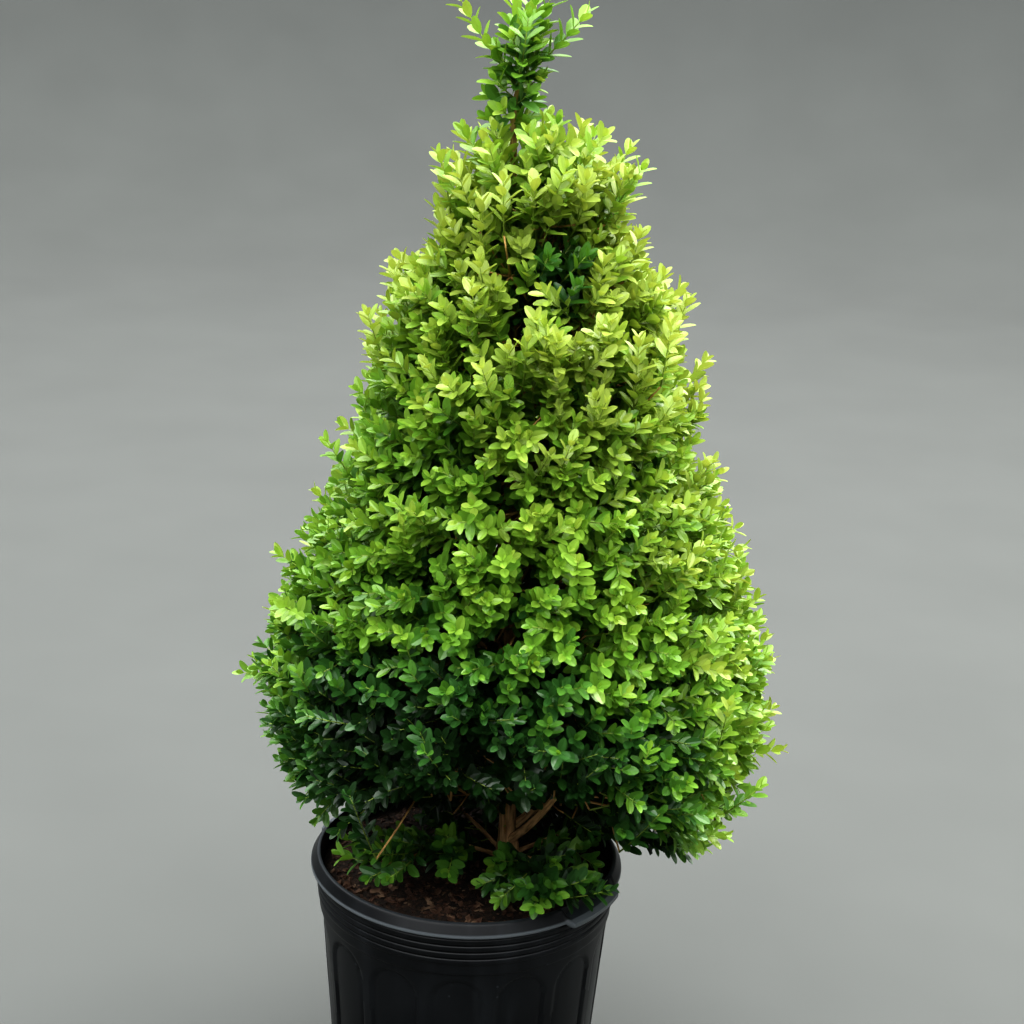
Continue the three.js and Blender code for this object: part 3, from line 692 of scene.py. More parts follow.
class TOPIARY_OT_pot(bpy.types.Operator):
    """Spin the pot, press its panels and grips in, and cut its drain holes"""
    bl_idname = "topiary.pot"
    bl_label = "Nursery Pot"

    def execute(self, context):
        pot = context.scene.topiary_pot
        piece = turned_piece("nursery_pot", pot_profile(pot.rim_radius, pot.height), POT_STEPS)
        points = mesh_points(piece)
        press_panels(points, pot.panels, pot.panel_depth)
        press_grips(points, pot.rim_radius, pot.height)
        set_mesh_points(piece, points)
        cut_drains(piece)
        plastic = material_of("black_polyethylene_moulded", moulded_plastic, pot)
        dress_as(piece, 40, plastic, "pot_plastic", "pot")
        return {"FINISHED"}


# The soil: its gap to the pot and its grid, and the number, shape, size and tilt of the chips on it.
SOIL_GAP = 0.0006
SOIL_STEPS = 160
SOIL_ROWS = 64
CHIP_COUNT = 1500
CHIP_SHAPE = (1.0, 0.55, 0.28)
SMALLEST_CHIP = 0.0016
CHIP_SPREAD = 0.0046
CHIP_TILT = 0.35


def soil_height(x, y):
    """The uneven top of the soil: heaped towards the wall, and crumbly all over."""
    radius = math.hypot(x, y)
    heap = 0.003 * math.exp(-((radius - 0.128) / 0.03) ** 2)
    clods = 0.0030 * noise.noise((x * 38, y * 38, 1.7))
    crumbs = 0.0014 * noise.noise((x * 120, y * 120, 4.1))
    return SOIL_TOP + heap + clods + crumbs - 0.001


class TOPIARY_OT_soil(bpy.types.Operator):
    """Fill the pot with potting mix and strew bark chips over it"""
    bl_idname = "topiary.soil"
    bl_label = "Potting Mix"

    def execute(self, context):
        floor = WALL + SOIL_GAP
        side = body_radius(SOIL_TOP) - WALL - SOIL_GAP
        profile = [(side * step / SOIL_ROWS, SOIL_TOP) for step in range(SOIL_ROWS + 1)]
        profile += [(body_radius(floor) - WALL - SOIL_GAP, floor), (0, floor)]
        piece = turned_piece("potting_mix", profile, SOIL_STEPS)
        points = mesh_points(piece)
        for point in points:
            if point[2] > SOIL_TOP - 1e-5:
                point[2] = soil_height(point[0], point[1])
        set_mesh_points(piece, points)
        dress_as(piece, 50, material_of("potting_mix_crumbly", potting_mix), "soil", "soil")
        chips = strew_chips(np.random.default_rng(5), side)
        ride_as(chips, "soil", "soil")
        return {"FINISHED"}


def strew_chips(draw, side):
    """Bark chips: six-sided shards of many sizes, lying flat on the mix or half sunk in it."""
    corners = np.array([(x, y, z) for x in (-1, 1) for y in (-1, 1) for z in (-1, 1)], dtype=float)
    sides = np.array([(0, 1, 3, 2), (4, 6, 7, 5), (0, 4, 5, 1), (2, 3, 7, 6), (0, 2, 6, 4), (1, 5, 7, 3)])
    vertices, faces = [], []
    for chip in range(CHIP_COUNT):
        radius = (side - 0.008) * math.sqrt(draw.random())
        azimuth = draw.random() * math.tau
        place = Vector((radius * math.cos(azimuth), radius * math.sin(azimuth), 0))
        place.z = soil_height(place.x, place.y) + 0.0006
        size = np.array(CHIP_SHAPE) * (SMALLEST_CHIP + CHIP_SPREAD * draw.random() ** 3)
        shard = corners * size * draw.uniform(0.6, 1.15, corners.shape)
        turn = Matrix.Rotation(draw.random() * math.tau, 3, "Z")
        for axis in ("X", "Y"):
            turn = turn @ Matrix.Rotation(draw.normal(0, CHIP_TILT), 3, axis)
        vertices.append(shard @ np.array(turn).T + np.array(place))
        faces.append(sides + 8 * chip)
    bark = material_of("bark_chips_weathered", chip_bark)
    return mesh_piece("bark_chips", np.concatenate(vertices), np.concatenate(faces), [bark], smooth=False)


def trunk_point(z):
    share = (z - SOIL_TOP) / (TRUNK_TIP_Z - SOIL_TOP)
    x = TRUNK_FOOT_X - TRUNK_LEAN * max(share, 0) ** 1.3
    return Vector((x, TRUNK_BOW * math.sin(math.pi * share), z))


def trunk_radius(z):
    share = (z - SOIL_TOP) / (TRUNK_TIP_Z - SOIL_TOP)
    flare = FLARE * math.exp(-(z - SOIL_TOP) / FLARE_HEIGHT)
    return TRUNK_RADIUS + (TRUNK_TIP_RADIUS - TRUNK_RADIUS) * share + flare


def direction(azimuth, elevation):
    flat = math.cos(elevation)
    return Vector((flat * math.cos(azimuth), flat * math.sin(azimuth), math.sin(elevation)))


def limb_path(root_z, azimuth, reach, tip_z, lift):
    """The root on the trunk, the elbow and the tip of a limb."""
    root = trunk_point(root_z)
    tip = direction(azimuth, 0) * reach + Vector((CROWN_X, 0, tip_z))
    return root, root.lerp(tip, 0.5) + Vector((0, 0, lift)), tip


def bough_paths():
    """The paths of the boughs that carry the skirt, as in the solids."""
    paths = []
    for bough in range(BOUGH_COUNT):
        azimuth = math.radians(BOUGH_PHASE + 360 / BOUGH_COUNT * bough)
        root_z = BOUGH_ROOT_Z + BOUGH_ROOT_RISE * bough
        paths.append(limb_path(root_z, azimuth, BOUGH_REACH, BOUGH_TIP_Z, BOUGH_LIFT))
    return paths


def low_azimuth(low):
    return math.radians(LOW_PHASE + 360 / LOW_COUNT * low)


def low_bough_paths():
    """The paths of the thin low boughs that carry the sprays over the rim."""
    return [
        limb_path(LOW_ROOT_Z[low % 2], low_azimuth(low), LOW_REACH, LOW_TIP_Z, LOW_LIFT)
        for low in range(LOW_COUNT)
    ]


def on_curve(path, share):
    """A point on the quadratic curve through a root, an elbow and a tip."""
    root, elbow, tip = path
    return root * (1 - share) ** 2 + elbow * 2 * share * (1 - share) + tip * share ** 2


def limb_piece(name, centre_at, radius_at, sides, rings):
    """Wraps a grid round a limb's path, and raises furrows, knots and the lobes of its foot on it."""
    bpy.ops.object.select_all(action="DESELECT")
    bpy.ops.mesh.primitive_grid_add(x_subdivisions=sides, y_subdivisions=rings, size=2)
    piece = bpy.context.active_object
    piece.name = name
    piece.data.name = name
    points = mesh_points(piece)
    places = np.empty_like(points)
    span = (centre_at(1) - centre_at(0)).length
    for point, place in zip(points, places):
        share = min(max((point[1] + 1) / 2, 0), 1)
        turn = math.pi * (point[0] + 1)
        centre = centre_at(share)
        along = (centre_at(min(share + 0.01, 1)) - centre_at(max(share - 0.01, 0))).normalized()
        side = Vector((0, 1, 0)).cross(along).normalized()
        front = along.cross(side)
        radius = radius_at(share)
        out = side * math.cos(turn) + front * math.sin(turn)
        spot = centre + out * radius
        place[:] = radius * math.cos(turn), radius * math.sin(turn), span * share
        furrow = noise.noise((place[0] * 420, place[1] * 420, place[2] * 55 + span * 97))
        knot = max(0, noise.noise((spot.x * 60, spot.y * 60, spot.z * 38 + 9)) - 0.25)
        lobes = 0.12 * math.cos(4 * turn + 1) * max(0, 1 - share * 14)
        point[:] = centre + out * radius * (1 + 0.10 * furrow + 0.35 * knot + lobes)
    set_mesh_points(piece, points)
    attribute = piece.data.attributes.new("along_limb", "FLOAT_VECTOR", "POINT")
    attribute.data.foreach_set("vector", places.astype(np.float32).ravel())
    select_only(piece)
    bpy.ops.object.mode_set(mode="EDIT")
    close_seams(capped=True)
    return piece


class TOPIARY_OT_limbs(bpy.types.Operator):
    """Model the trunk and the boughs with their bark"""
    bl_idname = "topiary.limbs"
    bl_label = "Trunk and Boughs"

    def execute(self, context):
        bark = material_of("boxwood_bark_furrowed", furrowed_bark, context.scene.topiary_plant)
        foot = TRUNK_LOW[2]
        rise = TRUNK_HIGH[2] - foot
        trunk = limb_piece(
            "trunk_bark", lambda share: trunk_point(foot + rise * share),
            lambda share: trunk_radius(foot + rise * share), 28, 460,
        )
        dress_as(trunk, 60, bark, "bark", "trunk")
        kinds = (
            ("bough", bough_paths(), BOUGH_RADII, 16, 90),
            ("low_bough", low_bough_paths(), LOW_RADII, 12, 60),
        )
        for kind, paths, (thick, thin), sides, rings in kinds:
            for number, path in enumerate(paths, 1):
                piece = limb_piece(
                    f"{kind}_bark_{number}", lambda share: on_curve(path, share),
                    lambda share: thick + (thin - thick) * share, sides, rings,
                )
                dress_as(piece, 60, bark, "bark", f"{kind}_{number}")
        return {"FINISHED"}


UP = np.array((0.0, 0.0, 1.0))


def outline_at(z):
    return np.interp(z, *zip(*CROWN_OUTLINE))


def unit(vectors):
    return vectors / np.maximum(np.linalg.norm(vectors, axis=-1, keepdims=True), 1e-9)


def directions(azimuth, elevation):
    flat = np.cos(elevation)
    return np.stack((flat * np.cos(azimuth), flat * np.sin(azimuth), np.sin(elevation)), axis=-1)


def round_crown(reach, azimuth, z):
    """Points at a reach and an azimuth from the crown's axis, at a height."""
    return np.stack((CROWN_X + reach * np.cos(azimuth), reach * np.sin(azimuth), z), axis=-1)


def elevation_at(z):
    """How steeply a twig rises out of the clipped face at a height, in radians."""
    low = -24 + 48 * smooth_step(0.360, 0.560, z)
    return np.radians(low + 34 * smooth_step(0.700, 1.150, z))


def even_heights(count, first, last):
    """Heights that share the clipped face evenly among count shoots, but more sparsely at its top."""
    z = np.linspace(first, last, 600)
    radius = outline_at(z)
    slant = np.hypot(np.gradient(z), np.gradient(radius))
    area = np.cumsum(radius * slant * (1 - 0.3 * smooth_step(1.02, 1.11, z)))
    return np.interp((np.arange(count) + 0.5) / count * area[-1], area, z)


def lumps(azimuth, z):
    """The gentle swells that clipping leaves in the face, from -1 to 1."""
    swell = np.sin(3 * azimuth + 11 * z + 0.6) + np.sin(5 * azimuth - 17 * z + 2.1)
    return (swell + np.sin(9 * azimuth + 31 * z)) / 3


def hem_at(azimuth):
    """The height that the skirt's hem hangs to, which is lifted in front."""
    turn = turn_from(azimuth, HEM_LIFT_AZIMUTH)
    return HEM + HEM_LIFT * np.exp(-(turn / HEM_LIFT_WIDTH) ** 2)


def in_face_hole(points):
    """True for points that lie in one of the holes in the clipped face."""
    found = np.zeros(len(points), dtype=bool)
    for azimuth, height, wide, high in FACE_HOLES:
        out = directions(np.radians(azimuth), 0.0)
        side = np.array((-out[1], out[0], 0))
        offset = points - np.array((CROWN_X, 0, height))
        across = offset @ side / wide
        upward = offset[:, 2] / high
        found |= (across ** 2 + upward ** 2 < 1) & (offset @ out > 0)
    return found


def before_bough(points):
    """True for points that would hide the first bough from the front."""
    seen = points[:, 2] + points[:, 1] * SIGHT_FALL
    across = np.abs(points[:, 0] - BOUGH_GAP_X) < BOUGH_GAP_HALF
    return across & (points[:, 1] < -0.02) & (seen > BOUGH_GAP_Z[0]) & (seen < BOUGH_GAP_Z[1])


def tier_of(points):
    """The number of the tier whose space each point lies in."""
    radius = np.hypot(points[:, 0] - CROWN_X, points[:, 1])
    return sum((points[:, 2] - z - slope * radius > 0).astype(int) for z, slope in TIER_SPLITS)


def newness_and_painted_light_at(azimuth, z):
    """How new the leaves are, with painted light and shade in it: newest and painted lighter at the top and
    to the right, older and painted darker low in front, where shade falls.
    """
    turn = turn_from(azimuth, SHADE_AZIMUTH)
    shade = np.exp(-(turn / SHADE_WIDTH) ** 2)
    # Painted shade darkens the low part and the hem in front; painted light lightens the sunny side and the
    # top.
    low = smooth_step(0.80, 0.48, z)
    hem = 0.30 * shade * smooth_step(0.68, 0.55, z)
    sunny = 0.08 * np.cos(azimuth + 0.2)
    return 0.55 + sunny + 0.24 * smooth_step(0.80, 1.08, z) - low * (0.08 + 0.34 * shade) - hem


def crown_shoots(draw, plant):
    """The leafy shoots of the clipped crown: roots, directions, lengths, and how new each is, with its
    painted light and shade.
    """
    count = plant.face_shoots + plant.inner_shoots
    inner = np.arange(count) >= plant.face_shoots
    z = np.where(
        inner, np.where(
            draw.random(count) < INNER_LOW_SHARE,
            draw.uniform(*INNER_LOW_Z, count), draw.uniform(*INNER_Z, count),
        ),
        np.concatenate((even_heights(plant.face_shoots, *FACE_Z), np.zeros(plant.inner_shoots))),
    )
    azimuth = np.arange(count) * GOLDEN_ANGLE + draw.normal(0, 0.10, count)
    z = z + draw.normal(0, 0.008, count) * ~inner
    elevation = elevation_at(z) + draw.normal(0, 0.26, count)
    heading = azimuth + draw.normal(0, 0.34, count)
    depth = np.clip(draw.normal(-0.024, 0.009, count), -0.045, 0.0) - 0.012 * smooth_step(0.56, 0.46, z)
    reach = outline_at(z) * (1 + 0.025 * lumps(azimuth, z)) + depth
    reach = np.where(inner, reach * draw.uniform(*INNER_REACH, count), reach)
    length = draw.uniform(*SHOOT_LENGTH, count) * np.minimum(1, 0.45 + reach / 0.32)
    stray = ~inner & (draw.random(count) < 0.06 + 0.07 * smooth_step(0.75, 0.95, z))
    reach = np.where(stray, reach + draw.uniform(*STRAY_REACH, count), reach)
    elevation = np.where(stray, elevation + 0.25, elevation)
    tips = round_crown(reach, azimuth, z)
    newness_and_painted_light = newness_and_painted_light_at(azimuth, z) + draw.normal(0, 0.065, count) + 0.14 * stray
    # Inner leaves are older, and are painted darker still as the shade inside the crown: darkest in the
    # face's holes, less near the top where light gets in.
    newness_and_painted_light -= inner * np.where(in_face_hole(tips), 0.55, 0.32 - 0.20 * smooth_step(0.85, 1.05, z))
    below = hem_at(azimuth) - z
    kept = (below < 0) | (below < SPARSE_DROP) & (draw.random(count) < SPARSE)
    along = directions(heading, elevation)
    middle = tips - along * length[:, None] / 2
    kept &= inner | ~in_face_hole(tips) & ~in_face_hole(middle)
    grown = [values[kept] for values in (tips, along, length, newness_and_painted_light)]
    tips, along, length, newness_and_painted_light = map(np.concatenate, zip(grown, crest_shoots(draw), hollow_shoots(draw)))
    shoots = {"root": tips - along * length[:, None], "along": along, "length": length, "newness_and_painted_light": newness_and_painted_light}
    hiding = before_bough(tips) | before_bough(tips - along * length[:, None] / 2)
    return part_of(shoots, ~hiding)


def crest_shoots(draw):
    """Long loose shoots that stand up and out round the top of the cone."""
    number = np.arange(CREST_COUNT)
    azimuth = number * GOLDEN_ANGLE + 0.4
    reach = 0.112 * np.sqrt((number + 0.3) / CREST_COUNT) + draw.normal(0, 0.005, CREST_COUNT)
    z = 1.158 - 0.036 * (reach / 0.1) ** 2 + draw.normal(0, 0.006, CREST_COUNT)
    tips = round_crown(reach, azimuth, z)
    along = directions(azimuth + draw.normal(0, 0.2, CREST_COUNT), draw.normal(1.0, 0.12, CREST_COUNT))
    return tips, along, draw.uniform(0.085, 0.115, CREST_COUNT), draw.normal(0.62, 0.07, CREST_COUNT)


def hollow_shoots(draw):
    """Short shoots in the hollow under the skirt, all round the trunk and the first boughs, with the
    darkest leaf colours as painted shade.
    """
    azimuth = draw.uniform(-math.pi, math.pi, HOLLOW_COUNT)
    reach = np.sqrt(draw.uniform(0.030 ** 2, 0.178 ** 2, HOLLOW_COUNT))
    seen = draw.uniform(0.375, 0.475, HOLLOW_COUNT)
    z = np.maximum(seen - reach * np.sin(azimuth) * SIGHT_FALL, 0.362)
    tips = round_crown(reach, azimuth, z)
    along = directions(azimuth + draw.normal(0, 0.5, HOLLOW_COUNT), draw.normal(-0.1, 0.3, HOLLOW_COUNT))
    return tips, along, draw.uniform(0.040, 0.060, HOLLOW_COUNT), draw.normal(0.04, 0.07, HOLLOW_COUNT)


def square_axes(along):
    """Two axes square to each direction and to each other."""
    helper = np.where(np.abs(along[:, 2:3]) > 0.9, np.array((1.0, 0, 0)), UP)
    side = unit(np.cross(helper, along))
    return side, np.cross(along, side)


def turned_axes(along, draw):
    """Two axes square to each direction, at a seeded turn about it."""
    side, front = square_axes(along)
    turn = draw.uniform(0, math.tau, len(along))[:, None]
    return side * np.cos(turn) + front * np.sin(turn), front * np.cos(turn) - side * np.sin(turn)


def shoot_path(shoots, share):
    """The point and the direction at a share of each shoot, which bends up towards the light."""
    length = shoots["length"][:, None]
    share = np.asarray(share).reshape(-1, 1)
    bend = shoots.get("bend", 0.10)
    point = shoots["root"] + shoots["along"] * length * share + UP * length * bend * share * (share - 1)
    return point, unit(shoots["along"] + UP * bend * (2 * share - 1))


def leaves_of(shoots, plant, draw):
    """Opposite pairs of leaves up each shoot, each pair a quarter turn from the last, and a tip."""
    side, front = turned_axes(shoots["along"], draw)
    bare = shoots.get("bare", BARE)
    rows = []
    most = int(np.max((shoots["length"] - bare) / plant.internode)) + 1
    for pair in range(most + 1):
        place = bare + pair * plant.internode
        share = place / shoots["length"]
        there = share < LAST_PAIR
        last = ~there & (share - plant.internode / shoots["length"] < LAST_PAIR)
        share = np.minimum(share, 1.0)
        point, along = shoot_path(shoots, share)
        quarter = pair % 2 * math.pi / 2
        arm = side * math.cos(quarter) + front * math.sin(quarter)
        arm = arm * np.array((1.0, 1.0, shoots.get("flatness", 1.0)))
        arm = unit(arm - along * np.sum(arm * along, axis=1, keepdims=True))
        kinds = (
            (there, LOW_PAIR_ANGLE - HIGH_PAIR_CLOSES * share, 0.82 + 0.22 * np.sin(math.pi * share)),
            (last, TIP_ANGLE, TIP_SIZE),
        )
        for hand in (1, -1):
            for kept, angle, size in kinds:
                if not kept.any():
                    continue
                lean = np.radians(angle + draw.normal(0, 6, len(share)))[:, None]
                blade = unit(along * np.cos(lean) + hand * arm * np.sin(lean))
                face = along * np.sin(lean) - hand * arm * np.cos(lean)
                grown = size * draw.uniform(0.86, 1.12, len(share))
                grown = grown * (1 + 0.14 * smooth_step(0.8, 1.0, point[:, 2]))
                row = point, blade, face, grown[:, None], shoots["newness_and_painted_light"][:, None], share[:, None]
                rows.append(np.concatenate(row, axis=1)[kept])
    table = np.concatenate(rows)
    light = unit(UP * 0.8 + unit(table[:, 3:6]) * 0.2 + draw.normal(0, 0.16, (len(table), 3)))
    face = table[:, 6:9] + 0.55 * light
    face = unit(face - table[:, 3:6] * np.sum(face * table[:, 3:6], axis=1, keepdims=True))
    tone = table[:, 10] + 0.26 * (table[:, 11] - 0.55) + draw.normal(0, 0.045, len(table))
    return {
        "root": table[:, 0:3], "along": table[:, 3:6], "face": face, "size": table[:, 9], "tone": tone,
    }


# A leaf's outline as shares of its length and half width, the points on its midrib, and its halves' fold.
LEAF_STATIONS = ((0.22, 0.67), (0.50, 1.0), (0.79, 0.80), (0.95, 0.40))
MIDRIB = (0, 2, 5, 8, 11, 13)
LEAF_FOLD = math.radians(16)


def leaf_template():
    """One leaf of sixteen faces: a root, four rows across the midrib and a tip."""
    points = [(0, 0)]
    for place, half in LEAF_STATIONS:
        points += [(place, -half), (place, 0), (place, half)]
    points.append((1, 0))
    faces = [(0, 2, 1), (0, 3, 2)]
    last = 3 * len(LEAF_STATIONS) - 2
    for row in range(1, last, 3):
        faces += [(row, row + 1, row + 4), (row, row + 4, row + 3)]
        faces += [(row + 1, row + 2, row + 5), (row + 1, row + 5, row + 4)]
    faces += [(last, last + 1, last + 3), (last + 1, last + 2, last + 3)]
    return np.array(points, dtype=float), np.array(faces)


def leaf_piece(name, leaves, plant, materials, draw):
    """Joins leaves into one piece, and deals each its colour."""
    outline, faces = leaf_template()
    count = len(leaves["size"])
    length = plant.leaf_length * leaves["size"]
    half = plant.leaf_width / 2 * leaves["size"] * draw.uniform(0.9, 1.12, count)
    across = np.cross(leaves["face"], leaves["along"])
    curl = draw.normal(-0.05, 0.06, count) * length
    reach = np.outer(length, outline[:, 0])
    spread = np.outer(half * math.cos(LEAF_FOLD), outline[:, 1])
    lift = np.outer(half * math.sin(LEAF_FOLD), np.abs(outline[:, 1])) + np.outer(curl, outline[:, 0] ** 2)
    vertices = leaves["root"][:, None, :]
    for share, axis in ((reach, leaves["along"]), (spread, across), (lift, leaves["face"])):
        vertices = vertices + share[:, :, None] * axis[:, None, :]
    all_faces = faces[None, :, :] + np.arange(count)[:, None, None] * len(outline)
    step = np.clip(((1 - leaves["tone"]) * len(materials)).astype(int), 0, len(materials) - 1)
    piece = mesh_piece(
        name, vertices.reshape(-1, 3), all_faces.reshape(-1, 3), materials, np.repeat(step, len(faces)),
    )
    crease_midribs(piece.data, len(outline))
    return piece


def crease_midribs(mesh, points_each):
    """Marks the edges along each leaf's midrib sharp, so that its two halves take the light apart."""
    ends = np.empty(len(mesh.edges) * 2, dtype=np.int32)
    mesh.edges.foreach_get("vertices", ends)
    on_rib = np.isin(ends % points_each, MIDRIB).reshape(-1, 2).all(axis=1)
    mesh.attributes.new("sharp_edge", "BOOLEAN", "EDGE").data.foreach_set("value", on_rib)


def tube_arrays(paths, radii, sides):
    """Closed tapering tubes along paths of equally many points, as vertices and triangles."""
    count, rings = paths.shape[:2]
    side, front = square_axes(unit(paths[:, -1] - paths[:, 0]))
    turns = np.arange(sides)[:, None] * math.tau / sides
    ring = side[:, None, :] * np.cos(turns) + front[:, None, :] * np.sin(turns)
    vertices = paths[:, :, None, :] + ring[:, None, :, :] * radii[:, :, None, None]
    faces = []
    for row in range(rings - 1):
        for at in range(sides):
            here, following = row * sides + at, row * sides + (at + 1) % sides
            faces += [(here, following, following + sides), (here, following + sides, here + sides)]
    top = (rings - 1) * sides
    for at in range(1, sides - 1):
        faces += [(0, at + 1, at), (top, top + at, top + at + 1)]
    all_faces = np.array(faces)[None] + (np.arange(count) * rings * sides)[:, None, None]
    return vertices.reshape(-1, 3), all_faces.reshape(-1, 3)


def tube_piece(name, groups, materials):
    """Joins groups of (paths, radii, sides, material number) into one piece."""
    vertices, faces, numbers = [], [], []
    used = 0
    for paths, radii, sides, number in groups:
        if not len(paths):
            continue
        some_vertices, some_faces = tube_arrays(paths, radii, sides)
        vertices.append(some_vertices)
        faces.append(some_faces + used)
        numbers.append(np.full(len(some_faces), number))
        used += len(some_vertices)
    return mesh_piece(
        name, np.concatenate(vertices), np.concatenate(faces), materials, np.concatenate(numbers),
    )


def bowed(start, end, rise, steps):
    """Paths from start to end that leave low and bend up."""
    share = np.linspace(0, 1, steps)[None, :, None]
    span = np.linalg.norm(end - start, axis=1)[:, None, None]
    sag = rise * span * share * (share - 1)
    return start[:, None, :] * (1 - share) + end[:, None, :] * share + sag * UP


def tapered(count, radii, steps):
    """The radii along each of count paths, from the first at its root to the last at its tip."""
    return np.repeat(np.linspace(*radii, steps)[None, :], count, axis=0)


def nearest(points, targets):
    """For each point, the number of the nearest target."""
    gaps = np.linalg.norm(points[:, None, :] - targets[None, :, :], axis=2)
    return np.argmin(gaps, axis=1)


def shoot_tubes(shoots):
    """The green wood of the shoots themselves."""
    steps = 4
    count = len(shoots["length"])
    points = [shoot_path(shoots, np.full(count, share))[0] for share in np.linspace(0, 1, steps)]
    return np.stack(points, axis=1), tapered(count, SHOOT_RADII, steps)


def wood_of(roots, tier, draw):
    """Branches from the trunk or the bough tips, and the forks on them that carry the shoots."""
    axis = np.array((CROWN_X, 0, 0))
    flat = np.array((1, 1, 0))
    radius = np.linalg.norm((roots - axis) * flat, axis=1)
    fork_count = max(4, len(roots) // 4)
    picked = draw.choice(len(roots), fork_count, replace=False)
    inward = unit((axis - roots[picked]) * flat)
    forks = roots[picked] + inward * np.minimum(0.030, radius[picked] * 0.25)[:, None]
    forks[:, 2] -= 0.018 + 0.02 * np.tan(elevation_at(roots[picked, 2]))
    branch_count = max(3, fork_count // 5)
    chosen = draw.choice(fork_count, branch_count, replace=False)
    ends = axis + (forks[chosen] - axis) * (0.66, 0.66, 1)
    ends[:, 2] = np.maximum(ends[:, 2] - 0.03, CORE_BOTTOM + 0.024)
    if tier == 0:
        tips = np.array([path[2] for path in bough_paths()])
        starts = tips[nearest(ends, tips)]
    else:
        spread = np.linalg.norm((ends - axis) * flat, axis=1)
        heights = ends[:, 2] - spread * (0.35 + 0.5 * smooth_step(0.6, 1.1, ends[:, 2]))
        starts = np.array([trunk_point(z) for z in np.clip(heights, 0.44, TRUNK_TIP_Z - 0.03)])
    root_fork = nearest(roots, forks)
    fork_end = nearest(forks, ends)
    return [
        (bowed(starts, ends, 0.14, 7), tapered(branch_count, BRANCH_RADII, 7), 5, 0),
        (bowed(ends[fork_end], forks, 0.12, 4), tapered(fork_count, FORK_RADII, 4), 4, 0),
        (bowed(forks[root_fork], roots, 0.10, 3), tapered(len(roots), STALK_RADII, 3), 3, 0),
    ]


def part_of(table, chosen):
    """The chosen rows of a table of shoots or leaves. A value that all rows share stays."""
    return {
        name: values[chosen] if isinstance(values, np.ndarray) else values
        for name, values in table.items()
    }


def foliage_materials(plant):
    """The leaf colours, and the wood of the twigs and of the shoots, which all the masses share."""
    leaves = [material_of(name, waxy_leaf, linear(colour)) for name, colour in LEAF_COLOURS]
    straw = material_of("boxwood_twig_straw", twig_skin, plant.twig, 0.75)
    return leaves, (straw, material_of("boxwood_shoot_green", twig_skin, plant.shoot, 0.5))


def in_sectors(leaves):
    """Parts the leaves into as many sectors round the crown's axis as keep each under MOST_FACES."""
    faces = len(leaf_template()[1])
    azimuth = np.arctan2(leaves["root"][:, 1], leaves["root"][:, 0] - CROWN_X)
    sectors = np.array_split(np.argsort(azimuth), math.ceil(len(azimuth) * faces / MOST_FACES))
    return [part_of(leaves, np.sort(sector)) for sector in sectors]


def grow_mass(label, nodes, shoots, wood, plant, materials, draw):
    """Makes the leaf pieces and the twig piece of one mass from its shoots and its wood."""
    leaf_colours, wood_colours = materials
    sectors = in_sectors(leaves_of(shoots, plant, draw))
    for number, some in enumerate(sectors):
        suffix = f"_{number + 1}" if len(sectors) > 1 else ""
        leaves = leaf_piece(f"leaves_{label}{suffix}", some, plant, leaf_colours, draw)
        ride_as(leaves, "leaves", *nodes)
    paths, radii = shoot_tubes(shoots)
    twigs = tube_piece(f"twigs_{label}", wood + [(paths, radii, 3, 1)], wood_colours)
    ride_as(twigs, "bark", *nodes)


class TOPIARY_OT_crown(bpy.types.Operator):
    """Grow the clipped crown, tier by tier, from the trunk and the bough tips"""
    bl_idname = "topiary.crown"
    bl_label = "Clipped Crown"

    def execute(self, context):
        plant = context.scene.topiary_plant
        draw = np.random.default_rng(plant.seed)
        shoots = crown_shoots(draw, plant)
        materials = foliage_materials(plant)
        tiers = tier_of(shoots["root"] + shoots["along"] * shoots["length"][:, None] / 2)
        for tier, node in enumerate(TIERS):
            some = part_of(shoots, tiers == tier)
            wood = wood_of(some["root"], tier, draw)
            grow_mass(node, [node], some, wood, plant, materials, draw)
        return {"FINISHED"}


def low_shoots(draw, index, path):
    """Loose shoots along one low bough and its stem, fanned out over the soil and the rim, and the stem."""
    azimuth = low_azimuth(index)
    ahead = np.array(direction(azimuth, 0.05))
    share = np.linspace(0, 1, LOW_STEM_SHOOTS)
    stem = np.array(path[2]) + ahead * LOW_STEM * share[:, None]
    stem[:, 2] -= LOW_DROOP * share ** 2
    bough = np.array([on_curve(path, share) for share in np.linspace(0.3, 0.98, LOW_BOUGH_SHOOTS)])
    roots = np.concatenate((bough, stem))
    count = len(roots)
    heading = azimuth + draw.uniform(-1.15, 1.15, count)
    elevation = draw.uniform(-0.22, 0.62, count)
    # The low sprays' leaves are dealt dark colours as painted shade under the crown.
    shoots = {
        "root": roots, "along": directions(heading, elevation), "length": draw.uniform(0.042, 0.074, count),
        "newness_and_painted_light": draw.normal(0.24, 0.13, count), "bend": 0.2, "flatness": 0.35,
    }
    return shoots, stem


def clear_of_pot(shoots, pot):
    """True for shoots whose tips stay over the rim and the soil, not in them."""
    tips = shoots["root"] + shoots["along"] * shoots["length"][:, None]
    from_axis = np.hypot(tips[:, 0], tips[:, 1])
    floor = np.where(from_axis > pot.rim_radius + 0.008, pot.height - 0.045, pot.height + 0.006)
    floor = np.where(from_axis < MOUTH_RADIUS - 0.02, SOIL_TOP + 0.014, floor)
    return tips[:, 2] > floor


